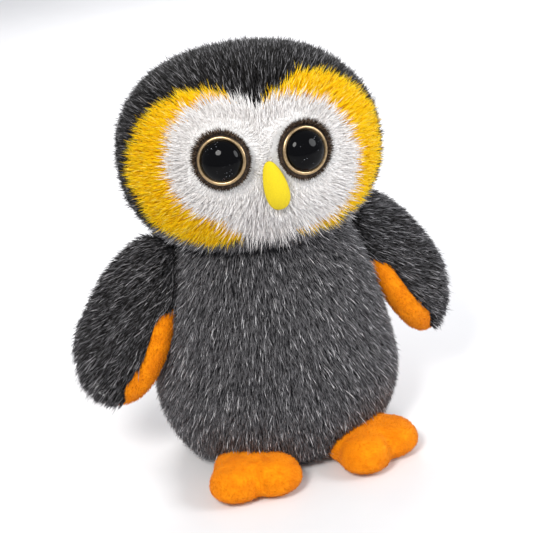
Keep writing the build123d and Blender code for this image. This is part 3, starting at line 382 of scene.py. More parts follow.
# Finish of each material slot: dark and light tone, size of the mottling, roughness and relief
FINISHES = {
    "stuffing": dict(dark=(0.7, 0.7, 0.68), light=(0.95, 0.95, 0.93), scale=300, roughness=0.95, bump=0.8),
    "dark_pile": dict(dark=(0.008, 0.006, 0.005), light=(0.04, 0.025, 0.018), scale=900, roughness=0.9,
                      bump=0.8),
    "yellow_felt": dict(dark=(0.56, 0.42, 0.001), light=(0.68, 0.52, 0.001), scale=1400, roughness=0.9,
                        bump=0.5),
    "eye_gold": dict(dark=(0.30, 0.20, 0.10), light=(0.52, 0.38, 0.22), scale=700, roughness=0.34, bump=0.05,
                     metallic=1.0),
    "case_plastic": dict(dark=(0.72, 0.72, 0.70), light=(0.80, 0.80, 0.78), scale=900, roughness=0.5,
                         bump=0.12),
    "white_plastic": dict(dark=(0.82, 0.82, 0.80), light=(0.88, 0.88, 0.86), scale=700, roughness=0.4,
                          bump=0.08),
    "black_plastic": dict(dark=(0.02, 0.02, 0.022), light=(0.035, 0.035, 0.04), scale=900, roughness=0.45,
                          bump=0.12),
    "gear_plastic": dict(dark=(0.74, 0.70, 0.58), light=(0.84, 0.81, 0.70), scale=400, roughness=0.35,
                         bump=0.05),
    "board": dict(dark=(0.02, 0.16, 0.06), light=(0.03, 0.24, 0.10), scale=250, roughness=0.35,
                  bump=0.1, coat=0.4),
    "speaker_paper": dict(dark=(0.02, 0.02, 0.02), light=(0.06, 0.06, 0.058), scale=1200, roughness=0.9,
                          bump=0.6),
    "cell": dict(dark=(0.03, 0.12, 0.06), light=(0.05, 0.18, 0.09), scale=120, roughness=0.3,
                 bump=0.03, coat=0.6),
    "steel": dict(dark=(0.42, 0.42, 0.44), light=(0.62, 0.62, 0.64), scale=500, roughness=0.35, bump=0.05,
                  metallic=1.0),
    "brass": dict(dark=(0.60, 0.42, 0.16), light=(0.76, 0.58, 0.26), scale=500, roughness=0.3, bump=0.05,
                  metallic=1.0),
}
SLOT_MATERIALS = {name: mottled_material(name, **finish) for name, finish in FINISHES.items()}
SLOT_MATERIALS["base_cloth"] = fleece_material("base_cloth", (0.012, 0.012, 0.014), (0.03, 0.03, 0.034))
SLOT_MATERIALS["orange_fleece"] = fleece_material("orange_fleece", (0.56, 0.13, 0.001), (0.84, 0.27, 0.002))
EYE = eye_material()

# The cloth under the pile: dark and light tone
BACKINGS = {
    "grey": ((0.004, 0.004, 0.005), (0.022, 0.022, 0.025)),
    "white": ((0.56, 0.55, 0.54), (0.74, 0.73, 0.72)),
    "yellow": ((0.55, 0.26, 0.003), (0.82, 0.46, 0.008)),
}
SKIN = {name: mottled_material(f"{name}_backing", dark, light, scale=420, roughness=0.95, bump=0.9)
        for name, (dark, light) in BACKINGS.items()}

# Tones of the pile
TONES = {
    # the nearly black root tone of the hood's and wings' pile is partly the pile's own dark base and partly
    # painted shade deep in the pile, between the hairs
    "hood_root": (0.0025, 0.0025, 0.003), "hood_dark": (0.008, 0.0075, 0.0075),
    "hood_mid": (0.022, 0.0205, 0.020),
    "grey_root": (0.018, 0.018, 0.020), "grey_dark": (0.068, 0.066, 0.070), "grey_mid": (0.140, 0.136, 0.142),
    "grey_light": (0.21, 0.205, 0.212), "silver_low": (0.32, 0.31, 0.32), "silver": (0.56, 0.55, 0.56),
    "silver_bright": (0.82, 0.81, 0.82),
    "white_root": (0.74, 0.71, 0.69), "white_mid": (0.86, 0.83, 0.815), "white_tip": (0.95, 0.93, 0.92),
    "yellow_root": (0.80, 0.38, 0.001), "yellow_mid": (0.98, 0.57, 0.001), "yellow_tip": (1.0, 0.67, 0.006),
    "yellow_pale": (1.0, 0.82, 0.14),
    "orange_root": (0.50, 0.12, 0.001), "orange_mid": (0.76, 0.225, 0.001), "orange_tip": (0.88, 0.29, 0.001),
    "lash_dark": (0.010, 0.007, 0.006), "lash_brown": (0.045, 0.028, 0.018), "lash_tip": (0.16, 0.11, 0.075),
}
HAIR = {name: hair_material(name, colour) for name, colour in TONES.items()}

# Mixes of tones: share, root tone, tip tone
UNDER_GREY = [(3, "grey_root", "grey_dark"), (6, "grey_dark", "grey_mid"), (4, "grey_mid", "grey_light")]
# the hood's and wings' under-pile starts from the nearly black root tone: part dark base, part painted shade
# between the hairs
UNDER_HOOD = [(6, "hood_root", "hood_dark"), (4, "hood_dark", "hood_mid"), (2, "hood_mid", "grey_dark")]
UNDER_WING = [(4, "hood_root", "hood_mid"), (4, "hood_mid", "grey_dark"), (2, "hood_mid", "grey_mid")]
GUARD_GREY = [(3, "grey_light", "silver_low"), (3, "silver_low", "silver"), (2, "silver", "silver_bright")]
GUARD_HOOD = [(5, "hood_mid", "grey_mid"), (3, "grey_dark", "grey_light"), (1, "grey_light", "silver_low")]
GUARD_WING = [(4, "grey_dark", "grey_light"), (3, "grey_light", "silver_low"), (2, "silver_low", "silver")]
WHITE = [(3, "white_root", "white_mid"), (5, "white_mid", "white_tip")]
YELLOW = [(3, "yellow_root", "yellow_mid"), (5, "yellow_mid", "yellow_tip"), (1, "yellow_tip", "yellow_pale")]
ORANGE = [(3, "orange_root", "orange_mid"), (5, "orange_mid", "orange_tip")]
LASH = [(5, "lash_dark", "lash_brown"), (2, "lash_dark", "lash_dark"), (2, "lash_brown", "lash_tip")]


# ---------------------------------------------------------------- pile
PIECE_HAIRS = {2: 21000, 3: 12500}   # hairs in one piece, by how many stretches each hair has
ROOT_DEPTH = 0.0006                  # the roots start below the cloth's surface
SIDEWAYS, UPWARDS = 0.22, 0.16       # how far hairs wander from the comb
LENGTHS, WIDTHS = (0.75, 1.15), (0.7, 1.2)   # shares of the given size that a hair may have
TAPER, TAPER_POWER = 0.55, 1.5
SIDES = 3                            # corners of a hair's section

# Hairs on each square centimetre
BODY_DENSITY, HEAD_DENSITY, WING_DENSITY, LINING_DENSITY, FOOT_DENSITY = 105, 120, 115, 90, 130

# Two-length coats. Angles are above the cloth, in radians; the tips lie flatter than the roots
BODY_COAT = dict(under_length=0.0072, guard_length=0.0096, lift=0.82, guard_share=0.065,
                 under_tones=UNDER_GREY, guard_tones=GUARD_GREY)
NECK_COAT = dict(under_length=0.0085, guard_length=0.0118, lift=0.80, guard_share=0.09,
                 under_tones=UNDER_GREY, guard_tones=GUARD_GREY)
HOOD_COAT = dict(under_length=0.0078, guard_length=0.0112, lift=0.85, guard_share=0.12,
                 under_tones=UNDER_HOOD, guard_tones=GUARD_HOOD)
WING_COAT = dict(under_length=0.0070, guard_length=0.0100, lift=0.78, guard_share=0.10,
                 under_tones=UNDER_WING, guard_tones=GUARD_WING)
UNDER_WIDTH, GUARD_WIDTH = 0.00062, 0.00050
UNDER_DROOP, GUARD_DROOP = 0.25, 0.35

# One-length piles; the mask's, its wisps' and the lashes' vary in length, which is worked out where they grow
MASK_PILE = dict(width=0.00052, lift=0.75, tip_lift=0.40, tones=WHITE)
WISP_PILE = dict(width=0.00042, lift=0.70, tip_lift=0.30, tones=WHITE, levels=3)
CHEEK_PILE = dict(length=0.0098, width=0.00052, lift=0.78, tip_lift=0.42, tones=YELLOW)
CHEEK_GUARD_PILE = dict(length=0.0115, width=0.00040, lift=0.80, tip_lift=0.45, tones=YELLOW, levels=3)
LASH_PILE = dict(width=0.00042, lift=0.95, tip_lift=0.55, tones=LASH)
LINING_PILE = dict(length=0.0026, width=0.00040, lift=0.8, tip_lift=0.4, tones=ORANGE)
FOOT_PILE = dict(length=0.0019, width=0.00034, lift=0.95, tip_lift=0.6, tones=ORANGE)


# Where the pile grows and how it lies
BODY_PILE_LOW, BODY_PILE_HIGH = 0.003, SEAM_Z - 0.0015
PILE_SPREAD = np.array((2.0, 2.0, 0))    # how fast the body's pile fans out as it runs down
BASE_TURN = (0.022, 0.004)               # heights between which it turns outwards, clear of the table
HEAD_PILE_LOW = SEAM_Z + 0.003
EYE_CLEAR, EYE_TURN = 0.0180, (0.030, 0.018)   # distances from an eye's axis
BACK_TURN = (-0.005, 0.05)               # where the head's pile turns from outwards to downwards
CHIN_FUR_Z, CHIN_FUR_BLUR, CHIN_FUR_BACK = 0.176, 0.006, 0.020
MASK_SHORTEST, MASK_GAIN, MASK_FADE = 0.0034, 0.0060, (0.018, 0.032)
WISP_SHARE, WISP_ZONE = 0.30, 0.010
WISP_SHORTEST, WISP_GAIN, WISP_FADE = 0.0125, 0.0035, (-0.015, -0.035)
CHEEK_GUARD_SHARE = 0.12
TIP_PULL, OUTWARD_PULL, FAN_PULL = 0.8, 0.5, 0.35   # what the wing's pile follows
FOOT_PILE_LOW, FOOT_COMB_DROP, FOOT_COMB_MESS = 0.0022, 0.3, 0.35


def hair_points(roots, normals, comb, length, width, lift, tip_lift, levels):
    """A ring of points at the start of each stretch of a hair, and its tip, hair by hair."""
    count = len(roots)
    across = unit(np.cross(normals, comb))
    length = length * rng.uniform(*LENGTHS, count)
    width = width * rng.uniform(*WIDTHS, count)
    wander = rng.normal(0, 1, (2, count))
    heading = unit(comb + across * (SIDEWAYS * wander[0])[:, None])
    lift = lift + UPWARDS * wander[1]
    tip_lift = tip_lift + UPWARDS * wander[1]
    spin = rng.uniform(0, 2 * math.pi, count)

    point = roots - normals * ROOT_DEPTH
    rings = []
    for level in range(levels):
        angle = lift + (tip_lift - lift) * level / (levels - 1)
        direction = heading * np.cos(angle)[:, None] + normals * np.sin(angle)[:, None]
        side = unit(np.cross(direction, across + 0.3 * normals))
        other = np.cross(direction, side)
        taper = 1 - TAPER * (level / levels) ** TAPER_POWER
        for corner in range(SIDES):
            turn = spin + corner * 2 * math.pi / SIDES
            rings.append(point + (side * np.cos(turn)[:, None] + other * np.sin(turn)[:, None])
                         * (width * taper / 2)[:, None])
        point = point + direction * (length / levels)[:, None]
    rings.append(point)
    return np.stack(rings, axis=1)


def hair_faces(levels):
    """The quads round the lower stretches of a hair and the triangles round its last one."""
    quads, tris = [], []
    last = SIDES * (levels - 1)
    for corner in range(SIDES):
        after = (corner + 1) % SIDES
        for base in range(0, last, SIDES):
            quads.append((base + corner, base + after, base + SIDES + after, base + SIDES + corner))
        tris.append((last + corner, last + after, last + SIDES))
    return np.array(quads), np.array(tris)


def hair_mesh(name, verts, levels, root_slot, tip_slot, tone_names):
    """One mesh of many hairs, whose quads have the root's tone and whose triangles the tip's."""
    count, per_hair = verts.shape[:2]
    quads, tris = hair_faces(levels)
    starts = (np.arange(count) * per_hair)[:, None, None]
    quad_loops = (quads[None] + starts).reshape(count, -1)
    tri_loops = (tris[None] + starts).reshape(count, -1)
    loops = np.concatenate([quad_loops, tri_loops], axis=1).ravel()
    sizes = np.tile(np.array([4] * len(quads) + [3] * len(tris)), count)
    slots = [root_slot[:, None]] * len(quads) + [tip_slot[:, None]] * len(tris)
    slots = np.concatenate(slots, axis=1).ravel()
    mesh = bpy.data.meshes.new(name)
    mesh.vertices.add(count * per_hair)
    mesh.vertices.foreach_set("co", verts.astype(np.float32).ravel())
    mesh.loops.add(len(loops))
    mesh.loops.foreach_set("vertex_index", loops.astype(np.int32))
    mesh.polygons.add(len(sizes))
    mesh.polygons.foreach_set("loop_start", np.concatenate([[0], np.cumsum(sizes)[:-1]]).astype(np.int32))
    for tone in tone_names:
        mesh.materials.append(HAIR[tone])
    mesh.polygons.foreach_set("material_index", slots.astype(np.int32))
    mesh.polygons.foreach_set("use_smooth", np.ones(len(sizes), bool))
    mesh.update(calc_edges=True)
    return mesh


def grow(name, body, slot, roots, normals, comb, length, width, lift, tip_lift, tones, levels=2):
    """Plants tapered three-sided hairs, in as many pieces as their number asks for.

    lift and tip_lift are a hair's angle above the surface at its root and tip.
    """
    count = len(roots)
    kind = rng.choice(len(tones), count, p=np.array([t[0] for t in tones]) / sum(t[0] for t in tones))
    verts = hair_points(roots, normals, comb, length, width, lift, tip_lift, levels)
    tone_names = sorted({t for _, root, tip in tones for t in (root, tip)})
    root_slot = np.array([tone_names.index(t[1]) for t in tones])[kind]
    tip_slot = np.array([tone_names.index(t[2]) for t in tones])[kind]
    parts = math.ceil(count / PIECE_HAIRS[levels])
    for part in range(parts):
        some = slice(part * count // parts, (part + 1) * count // parts)
        mesh = hair_mesh(f"{name}_{part + 1}", verts[some], levels, root_slot[some], tip_slot[some],
                         tone_names)
        piece = bpy.data.objects.new(mesh.name, mesh)
        bpy.context.scene.collection.objects.link(piece)
        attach(piece, body)


def grey_coat(name, body, points, normals, comb, under_length, guard_length, lift, guard_share, under_tones,
              guard_tones):
    """Dense dark under-pile with longer, paler guard hairs through it."""
    guard = rng.random(len(points)) < guard_share
    under = ~guard
    grow(f"{name}_under", body, "grey_fur", points[under], normals[under], comb[under],
         under_length, UNDER_WIDTH, lift, lift - UNDER_DROOP, under_tones)
    grow(f"{name}_guard", body, "grey_fur", points[guard], normals[guard], comb[guard],
         guard_length, GUARD_WIDTH, lift, lift - GUARD_DROOP, guard_tones, levels=3)


# ---------------------------------------------------------------- body
def body_radius(z):
    half = np.where(z < BODY_WIDEST_Z, BODY_DROP, BODY_RISE)
    egg = BODY_HALF_WIDTH * np.sqrt(np.clip(1 - ((z - BODY_WIDEST_Z) / half) ** 2, 0, 1))
    return egg + SEAT_BULGE * smooth(*SEAT_FADE, z)


def body_surface():
    """The egg, closed by a soft shoulder where the cloth is gathered in to the neck."""
    angle = np.linspace(0, 2 * math.pi, BODY_COLUMNS, endpoint=False)
    heights = np.linspace(BODY_BOTTOM_Z, BODY_TOP_Z, BODY_ROWS)
    radii = body_radius(heights)
    gathered = np.linspace(NECK_START, NECK_HOLE / radii[-1], NECK_ROWS)
    heights = np.concatenate([heights, np.full(NECK_ROWS, BODY_TOP_Z)])
    radii = np.concatenate([radii, radii[-1] * gathered])
    rows = len(heights)
    verts = np.stack([
        radii[:, None] * np.cos(angle)[None],
        radii[:, None] * np.sin(angle)[None] * BODY_DEPTH_RATIO,
        np.broadcast_to(heights[:, None], (rows, BODY_COLUMNS)),
    ], axis=-1).reshape(-1, 3)
    out = unit(verts * BODY_OUTWARD + 1e-9)
    z = verts[:, 2]
    soft = ripple(verts, BODY_WAVES) * smooth(*WAVES_BASE, z) * smooth(*WAVES_TOP, z)
    # the waves only press the cloth in, so that it stays within the CAD's form
    return verts + out * (soft - BODY_WAVES[1])[:, None], grid_faces(rows, BODY_COLUMNS)


def in_armhole(points):
    x, y, z = points.T
    return ((np.abs(y) < ARMHOLE_HALF_DEPTH) & (z > ARMHOLE_LOW) & (z < ARMHOLE_HIGH)
            & (np.abs(x) > ARMHOLE_X))


def behind_foot(points):
    """Which points of the body are hidden by a foot."""
    half_width, front, height = FOOT_COVER
    x, y, z = points.T
    hidden = np.zeros(len(points), bool)
    for sign in (-1, 1):
        hidden |= (np.abs(x - sign * FOOT_CENTRE[0]) < half_width) & (y < front) & (z < height)
    return hidden


def build_body():
    verts, faces = body_surface()
    faces = faces[~in_armhole(verts[faces].mean(1))]
    skin = make_mesh("body_skin", verts, faces, SKIN["grey"])
    thicken(skin, CLOTH)
    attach(skin, "body")
    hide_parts("body_plush")

    points, normals = surface_samples(verts, faces, BODY_DENSITY, np.array((0.0, 0.0, BODY_WIDEST_Z)))
    height = points[:, 2]
    keep = (height < BODY_PILE_HIGH) & (height > BODY_PILE_LOW) & ~behind_foot(points)
    points, normals = points[keep], normals[keep]
    comb = tangent(normals, np.array((0.0, 0.0, -1.0)) + points * PILE_SPREAD)
    # near the base the pile turns outwards, so that it doesn't reach below the surface it sits on
    low = smooth(*BASE_TURN, points[:, 2])[:, None]
    comb = unit(comb * (1 - low) + unit(points * np.array((1, 1, 0))) * low)
    comb = tangent(normals, comb)
    grey_coat("body_fur", "body", points, normals, comb, **BODY_COAT)


# ---------------------------------------------------------------- head
def disc_depth(local, discs):
    """How far inside the outline of overlapping discs each point of the face is."""
    x, _, z = local.T
    depths = [radius - np.hypot(x - centre_x, z - centre_z) for centre_x, centre_z, radius in discs]
    return np.max(depths, axis=0)


def zones(local):
    """Which of the three fur colours a point of the head has: 0 grey, 1 white, 2 yellow."""
    x, y, z = local.T
    edge = ripple(local, FUR_EDGE_WAVES)
    front = y < 0
    white = disc_depth(local, MASK_DISCS) > edge
    yellow = disc_depth(local, CHEEK_DISCS) > edge
    brow = z > BROW_Z + BROW_SLOPE * np.abs(x) + edge
    chin = (z < CHIN_Z) & (np.abs(x) < CHIN_HALF_WIDTH + edge)
    return np.where(front & white, 1, np.where(front & yellow & ~brow & ~chin, 2, 0))


def head_surface():
    local = rounded_block(HEAD_HALF, HEAD_POWER, HEAD_ROWS, HEAD_COLUMNS)
    local *= (1 + ripple(local, HEAD_WAVES))[:, None]
    verts = local @ HEAD_AXES.T + HEAD_CENTRE
    verts[:, 2] = np.maximum(verts[:, 2], HEAD_FLOOR_Z)
    return verts, grid_faces(HEAD_ROWS, HEAD_COLUMNS)[:, ::-1]


def eye_frames():
    """Each eye's middle, normal and up direction, read from its CAD ring."""
    found = {}
    for side in ("left", "right"):
        mesh = frame["nodes"][f"eye_ring_{side}"].data
        co = np.array([v.co for v in mesh.vertices])
        low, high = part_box(f"eye_ring_{side}")
        _, _, axes = np.linalg.svd(co - co.mean(0), full_matrices=False)
        normal = axes[2] * (-1 if axes[2][1] > 0 else 1)
        middle = np.array((low + high) / 2)
        up = HEAD_AXES[:, 2] - normal * (HEAD_AXES[:, 2] @ normal)
        found[side] = (middle, normal, unit(up))
    return found


def sink_eye_seats(verts, eyes):
    """Presses the cloth in under each lash, so that the lash stands clear of it."""
    for middle, normal, _ in eyes.values():
        offset = verts - middle
        height = offset @ normal
        across = np.linalg.norm(offset - normal * height[:, None], axis=1)
        press = np.clip(height + LASH_DROP, 0, None) * smooth(*LASH_PRESS, across) * (across < LASH_REACH)
        verts = verts - normal * press[:, None]
    return verts


def nearest_eye(points, eyes):
    """Distance from the nearer eye's axis and the direction away from it, for points in front."""
    near = np.full(len(points), 9.0)
    from_eye = np.zeros_like(points)
    for middle, normal, _ in eyes.values():
        offset = points - middle
        height = offset @ normal
        flat = offset - normal * height[:, None]
        distance = np.linalg.norm(flat, axis=1)
        closer = (distance < near) & (height > -HEAD_HALF[1] / 2)
        near[closer] = distance[closer]
        from_eye[closer] = unit(flat[closer])
    return near, from_eye


def build_head_skins(verts, faces):
    zone = zones(head_local(verts[faces].mean(1)))
    for number, name, colour, slot, node in (
        (0, "hood_skin", "grey", "grey_fur", "head_hood"),
        (1, "mask_skin", "white", "white_fur", "face_mask"),
        (2, "cheek_skin", "yellow", "yellow_fur", "cheek_panels"),
    ):
        skin = make_mesh(name, verts, faces[zone == number], SKIN[colour])
        clean_loose(skin)
        thicken(skin, CLOTH)
        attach(skin, "head")
        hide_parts(node)


def build_head_pile(verts, faces, eyes):
    points, normals = surface_samples(verts, faces, HEAD_DENSITY, HEAD_CENTRE)
    near, from_eye = nearest_eye(points, eyes)
    keep = (points[:, 2] > HEAD_PILE_LOW) & (near > EYE_CLEAR) & ~under_beak(head_local(points))
    points, normals, near, from_eye = points[keep], normals[keep], near[keep], from_eye[keep]
    local = head_local(points)
    zone = zones(local)
    count = len(points)

    # the pile runs outwards from between the eyes, and down at the back
    away = (local - np.array((0, -HEAD_HALF[1], FACE_CENTRE_Z))) @ HEAD_AXES.T
    down = np.array((0.0, 0.0, -1.0))
    back = smooth(*BACK_TURN, local[:, 1])[:, None]
    wish = unit(away) * (1 - back) + down * back
    round_eye = smooth(*EYE_TURN, near)[:, None]
    comb = tangent(normals, wish * (1 - round_eye) + from_eye * round_eye)

    grey, white, yellow = zone == 0, zone == 1, zone == 2
    # under the chin the hood is as pale as the body
    low = points[:, 2] < CHIN_FUR_Z + CHIN_FUR_BLUR * rng.random(count)
    in_front = local[:, 1] < CHIN_FUR_BACK * rng.random(count)
    neck, hood = grey & low & in_front, grey & ~(low & in_front)
    grey_coat("neck_fur", "head", points[neck], normals[neck], comb[neck], **NECK_COAT)
    grey_coat("hood_fur", "head", points[hood], normals[hood], comb[hood], **HOOD_COAT)

    # the mask's pile is clipped short round the eyes
    length = MASK_SHORTEST + MASK_GAIN * smooth(*MASK_FADE, near)
    grow("mask_fur", "head", "white_fur", points[white], normals[white], comb[white], length[white],
         **MASK_PILE)
    # wisps at the mask's edge, longest where they hang from the chin over the body
    rim = white & (rng.random(count) < WISP_SHARE) & (disc_depth(local, MASK_DISCS) < WISP_ZONE)
    length = WISP_SHORTEST + WISP_GAIN * smooth(*WISP_FADE, local[:, 2])
    grow("mask_edge_fur", "head", "white_fur", points[rim], normals[rim], comb[rim], length[rim], **WISP_PILE)
    grow("cheek_fur", "head", "yellow_fur", points[yellow], normals[yellow], comb[yellow], **CHEEK_PILE)
    long = yellow & (rng.random(count) < CHEEK_GUARD_SHARE)
    grow("cheek_guard_fur", "head", "yellow_fur", points[long], normals[long], comb[long], **CHEEK_GUARD_PILE)


# ---------------------------------------------------------------- eyes and beak
def build_eye(side, middle, normal, up):
    seat = middle - normal * RING_MIDDLE
    steps = np.linspace(0, math.pi / 2, 20)
    dome = [(max(EYE_RADIUS * math.cos(a), AXIS_GAP), EYE_HEIGHT * math.sin(a)) for a in steps]
    profile = [(AXIS_GAP, EYE_BACK), (EYE_RADIUS, EYE_BACK)] + dome
    verts, faces = turned(profile, seat, normal, up)
    eye = make_mesh(f"eye_{side}", verts, faces, EYE)
    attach(eye, "head")
    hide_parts(f"eye_dome_{side}")

    centre, half = (RING_INNER + RING_OUTER) / 2, (RING_OUTER - RING_INNER) / 2
    loop = np.linspace(0, 2 * math.pi, 17)
    profile = [(centre + half * math.cos(a), RING_LIFT + RING_HALF_HEIGHT * math.sin(a)) for a in loop]
    verts, faces = turned(profile, seat, normal, up)
    ring = make_mesh(f"eye_rim_{side}", verts, faces, SLOT_MATERIALS["eye_gold"])
    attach(ring, "head")
    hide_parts(f"eye_ring_{side}")

    verts, faces = turned(FELT_PROFILE, seat, normal, up)
    felt = make_mesh(f"lash_felt_{side}", verts, faces, SLOT_MATERIALS["dark_pile"])
    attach(felt, "head")
    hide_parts(f"eye_lash_{side}")
    build_lash(side, seat, normal, up)


def build_lash(side, seat, normal, up):
    """A ring of short dark pile, fullest above the eye, towards the side of the head."""
    angle = rng.uniform(0, 2 * math.pi, LASH_HAIRS)
    radius = rng.uniform(*LASH_ROOTS, LASH_HAIRS)
    across = np.cross(up, normal)
    out = np.cos(angle)[:, None] * across + np.sin(angle)[:, None] * up
    roots = seat + out * radius[:, None] - normal * LASH_ROOT_DROP
    least, gain = LASH_FULLNESS
    fullness = least + gain * np.clip(np.cos(angle - LASH_FULLEST[side]), 0, 1)
    grow(f"lash_fur_{side}", "head", "dark_pile", roots, np.tile(normal, (LASH_HAIRS, 1)), out,
         LASH_LENGTH * fullness, **LASH_PILE)


def under_beak(local):
    """Which points of the head lie behind the leaning beak."""
    x, z = local[:, 0] - BEAK_AT[0], local[:, 2] - BEAK_AT[1]
    across = x * math.cos(BEAK_LEAN) + z * math.sin(BEAK_LEAN)
    up = z * math.cos(BEAK_LEAN) - x * math.sin(BEAK_LEAN)
    return (local[:, 1] < 0) & ((across / BEAK_SEAT[0]) ** 2 + (up / BEAK_SEAT[1]) ** 2 < 1)


def build_beak():
    """A padded felt leaf, rounded at both ends, fuller below its middle."""
    rows, columns, pole = 28, 40, 0.02
    v = np.linspace(pole, math.pi - pole, rows)[:, None]
    u = np.linspace(0, 2 * math.pi, columns, endpoint=False)[None]
    belly = np.sin(v) ** BEAK_FULLNESS * (1 - BEAK_BELLY * np.cos(v))
    across = (belly * np.cos(u) * BEAK_HALF[0]).ravel()
    out = (belly * np.sin(u) * BEAK_HALF[1]).ravel()
    up = (np.cos(v) * np.ones_like(u) * BEAK_HALF[2]).ravel()
    x = BEAK_AT[0] + across * math.cos(BEAK_LEAN) - up * math.sin(BEAK_LEAN)
    z = BEAK_AT[1] + up * math.cos(BEAK_LEAN) + across * math.sin(BEAK_LEAN)
    rounding = np.abs(x / HEAD_HALF[0]) ** HEAD_POWER + np.abs(z / HEAD_HALF[2]) ** HEAD_POWER
    face = -HEAD_HALF[1] * (1 - rounding) ** (1 / HEAD_POWER)
    local = np.stack([x, face - BEAK_STAND_OFF - out, z], axis=-1)
    beak = make_mesh("beak_felt", local @ HEAD_AXES.T + HEAD_CENTRE, grid_faces(rows, columns),
                     SLOT_MATERIALS["yellow_felt"])
    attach(beak, "head")
    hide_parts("beak")


def build_head():
    verts, faces = head_surface()
    eyes = eye_frames()
    verts = sink_eye_seats(verts, eyes)
    build_head_skins(verts, faces)
    build_head_pile(verts, faces, eyes)
    for side, (middle, normal, up) in eyes.items():
        build_eye(side, middle, normal, up)
    build_beak()


# ---------------------------------------------------------------- wings
def wing_surface(sign, centre, axes):
    """A paddle: full below, narrower at the shoulder. Local X is through the pad, Z up its length."""
    local = rounded_block(WING_HALF, WING_POWER, WING_ROWS, WING_COLUMNS)
    along = local[:, 2] / WING_HALF[2]
    local[:, 1] *= 1 - WING_NARROWING[0] * along - WING_NARROWING[1] * along**2
    local[:, 0] *= 1 - WING_THINNING * along
    local[:, 2] *= 1 + SHOULDER_RISE * smooth(0.0, 1.0, along)
    local[:, 0] -= WING_BOW * smooth(0.0, -1.0, along) ** 2
    local *= (1 + ripple(local, WING_WAVES, sign))[:, None]
    return local, local @ axes.T + centre, grid_faces(WING_ROWS, WING_COLUMNS)[:, ::-1]


def wing_outside(side, sign, middle):
    """Which faces of a wing are fur and not lining, from their middles."""
    forward = -sign * middle[:, 1] / WING_HALF[1]
    along = middle[:, 2] / WING_HALF[2]
    wrap = smooth(*WRAP_FORWARD, forward) * smooth(*WRAP_TOP, along) * smooth(*WRAP_TIP, along)
    # the fur folds over the shoulder and round the tip
    folded = SHOULDER_FOLD[side] * smooth(*FOLD_TOP, along) + TIP_FOLD * smooth(*FOLD_TIP, along)
    return middle[:, 0] > LINING_EDGE + LINING_WRAP * wrap - folded


def build_wing(side, sign):
    body = f"wing_{side}"
    centre = WING_CENTRE * np.array((sign, 1, 1))
    axes = wing_axes(sign)
    local, verts, faces = wing_surface(sign, centre, axes)
    outside = wing_outside(side, sign, local[faces].mean(1))
    for name, keep, material, slot, node in (
        ("outer_skin", outside, SKIN["grey"], "grey_fur", f"wing_fur_{side}"),
        ("inner_skin", ~outside, SLOT_MATERIALS["orange_fleece"], "orange_fleece", f"wing_lining_{side}"),
    ):
        skin = make_mesh(f"wing_{name}_{side}", verts, faces[keep], material)
        clean_loose(skin)
        thicken(skin, WING_CLOTH)
        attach(skin, body)
        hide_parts(node)

    points, normals = surface_samples(verts, faces[outside], WING_DENSITY, centre)
    to_tip = -axes[:, 2]
    outwards = np.array((sign * OUTWARD_PULL, 0.0, 0.0))
    comb = tangent(normals, to_tip * TIP_PULL + outwards + unit(points - centre) * FAN_PULL)
    grey_coat(f"wing_fur_{side}", body, points, normals, comb, **WING_COAT)
    points, normals = surface_samples(verts, faces[~outside], LINING_DENSITY, centre)
    comb = tangent(normals, np.tile(to_tip, (len(points), 1)))
    grow(f"lining_pile_{side}", body, "orange_fleece", points, normals, comb, **LINING_PILE)


# ---------------------------------------------------------------- feet
def foot_outline(angle):
    """Distance from the middle of a foot to its edge: a heel and two toes with a notch between them."""
    reach = np.zeros_like(angle)
    direction = np.stack([np.cos(angle), np.sin(angle)], axis=-1)
    for x, y, radius in FOOT_DISCS:
        along = direction @ np.array((x, y))
        gap = radius**2 - (x * x + y * y - along**2)
        reach = np.maximum(reach, np.where(gap > 0, along + np.sqrt(np.maximum(gap, 0)), 0))
    return reach


def soften(values, times):
    for _ in range(times):
        values = (np.roll(values, 1) + values * 2 + np.roll(values, -1)) / 4
    return values


def foot_surface(sign, turn):
    """A pad over the outline, with a crease between the toes."""
    angle = np.linspace(0, 2 * math.pi, FOOT_COLUMNS, endpoint=False)
    edge = soften(foot_outline(angle), FOOT_SOFTENING)
    bend = np.linspace(-0.5 * math.pi, 0.5 * math.pi, FOOT_ROWS)
    share = np.cos(bend) ** FOOT_ROUNDNESS
    share[0] = share[-1] = FOOT_POLE
    plan = share[:, None] * edge[None]
    x, y = plan * np.cos(angle), plan * np.sin(angle)
    height = np.sin(bend)[:, None]
    waist, rise = FOOT_HEIGHT * FOOT_WAIST, FOOT_HEIGHT * (1 - FOOT_WAIST)
    z = np.where(height < 0, waist * (1 + height), waist + rise * height) * np.ones_like(x)
    crease = np.exp(-(x / CREASE_HALF_WIDTH) ** 2) * smooth(*CREASE_Y, y)
    z = z - crease * CREASE_DEPTH * (z / FOOT_HEIGHT)
    verts = np.stack([x * math.cos(turn) - y * math.sin(turn) + sign * FOOT_CENTRE[0],
                      x * math.sin(turn) + y * math.cos(turn) + FOOT_CENTRE[1], z], axis=-1).reshape(-1, 3)
    uneven = ripple(verts, FOOT_WAVES, sign) * (verts[:, 2] / FOOT_HEIGHT)
    verts[:, 2] = np.maximum(verts[:, 2] + uneven, FOOT_SOLE_Z)
    return verts, grid_faces(FOOT_ROWS, FOOT_COLUMNS)


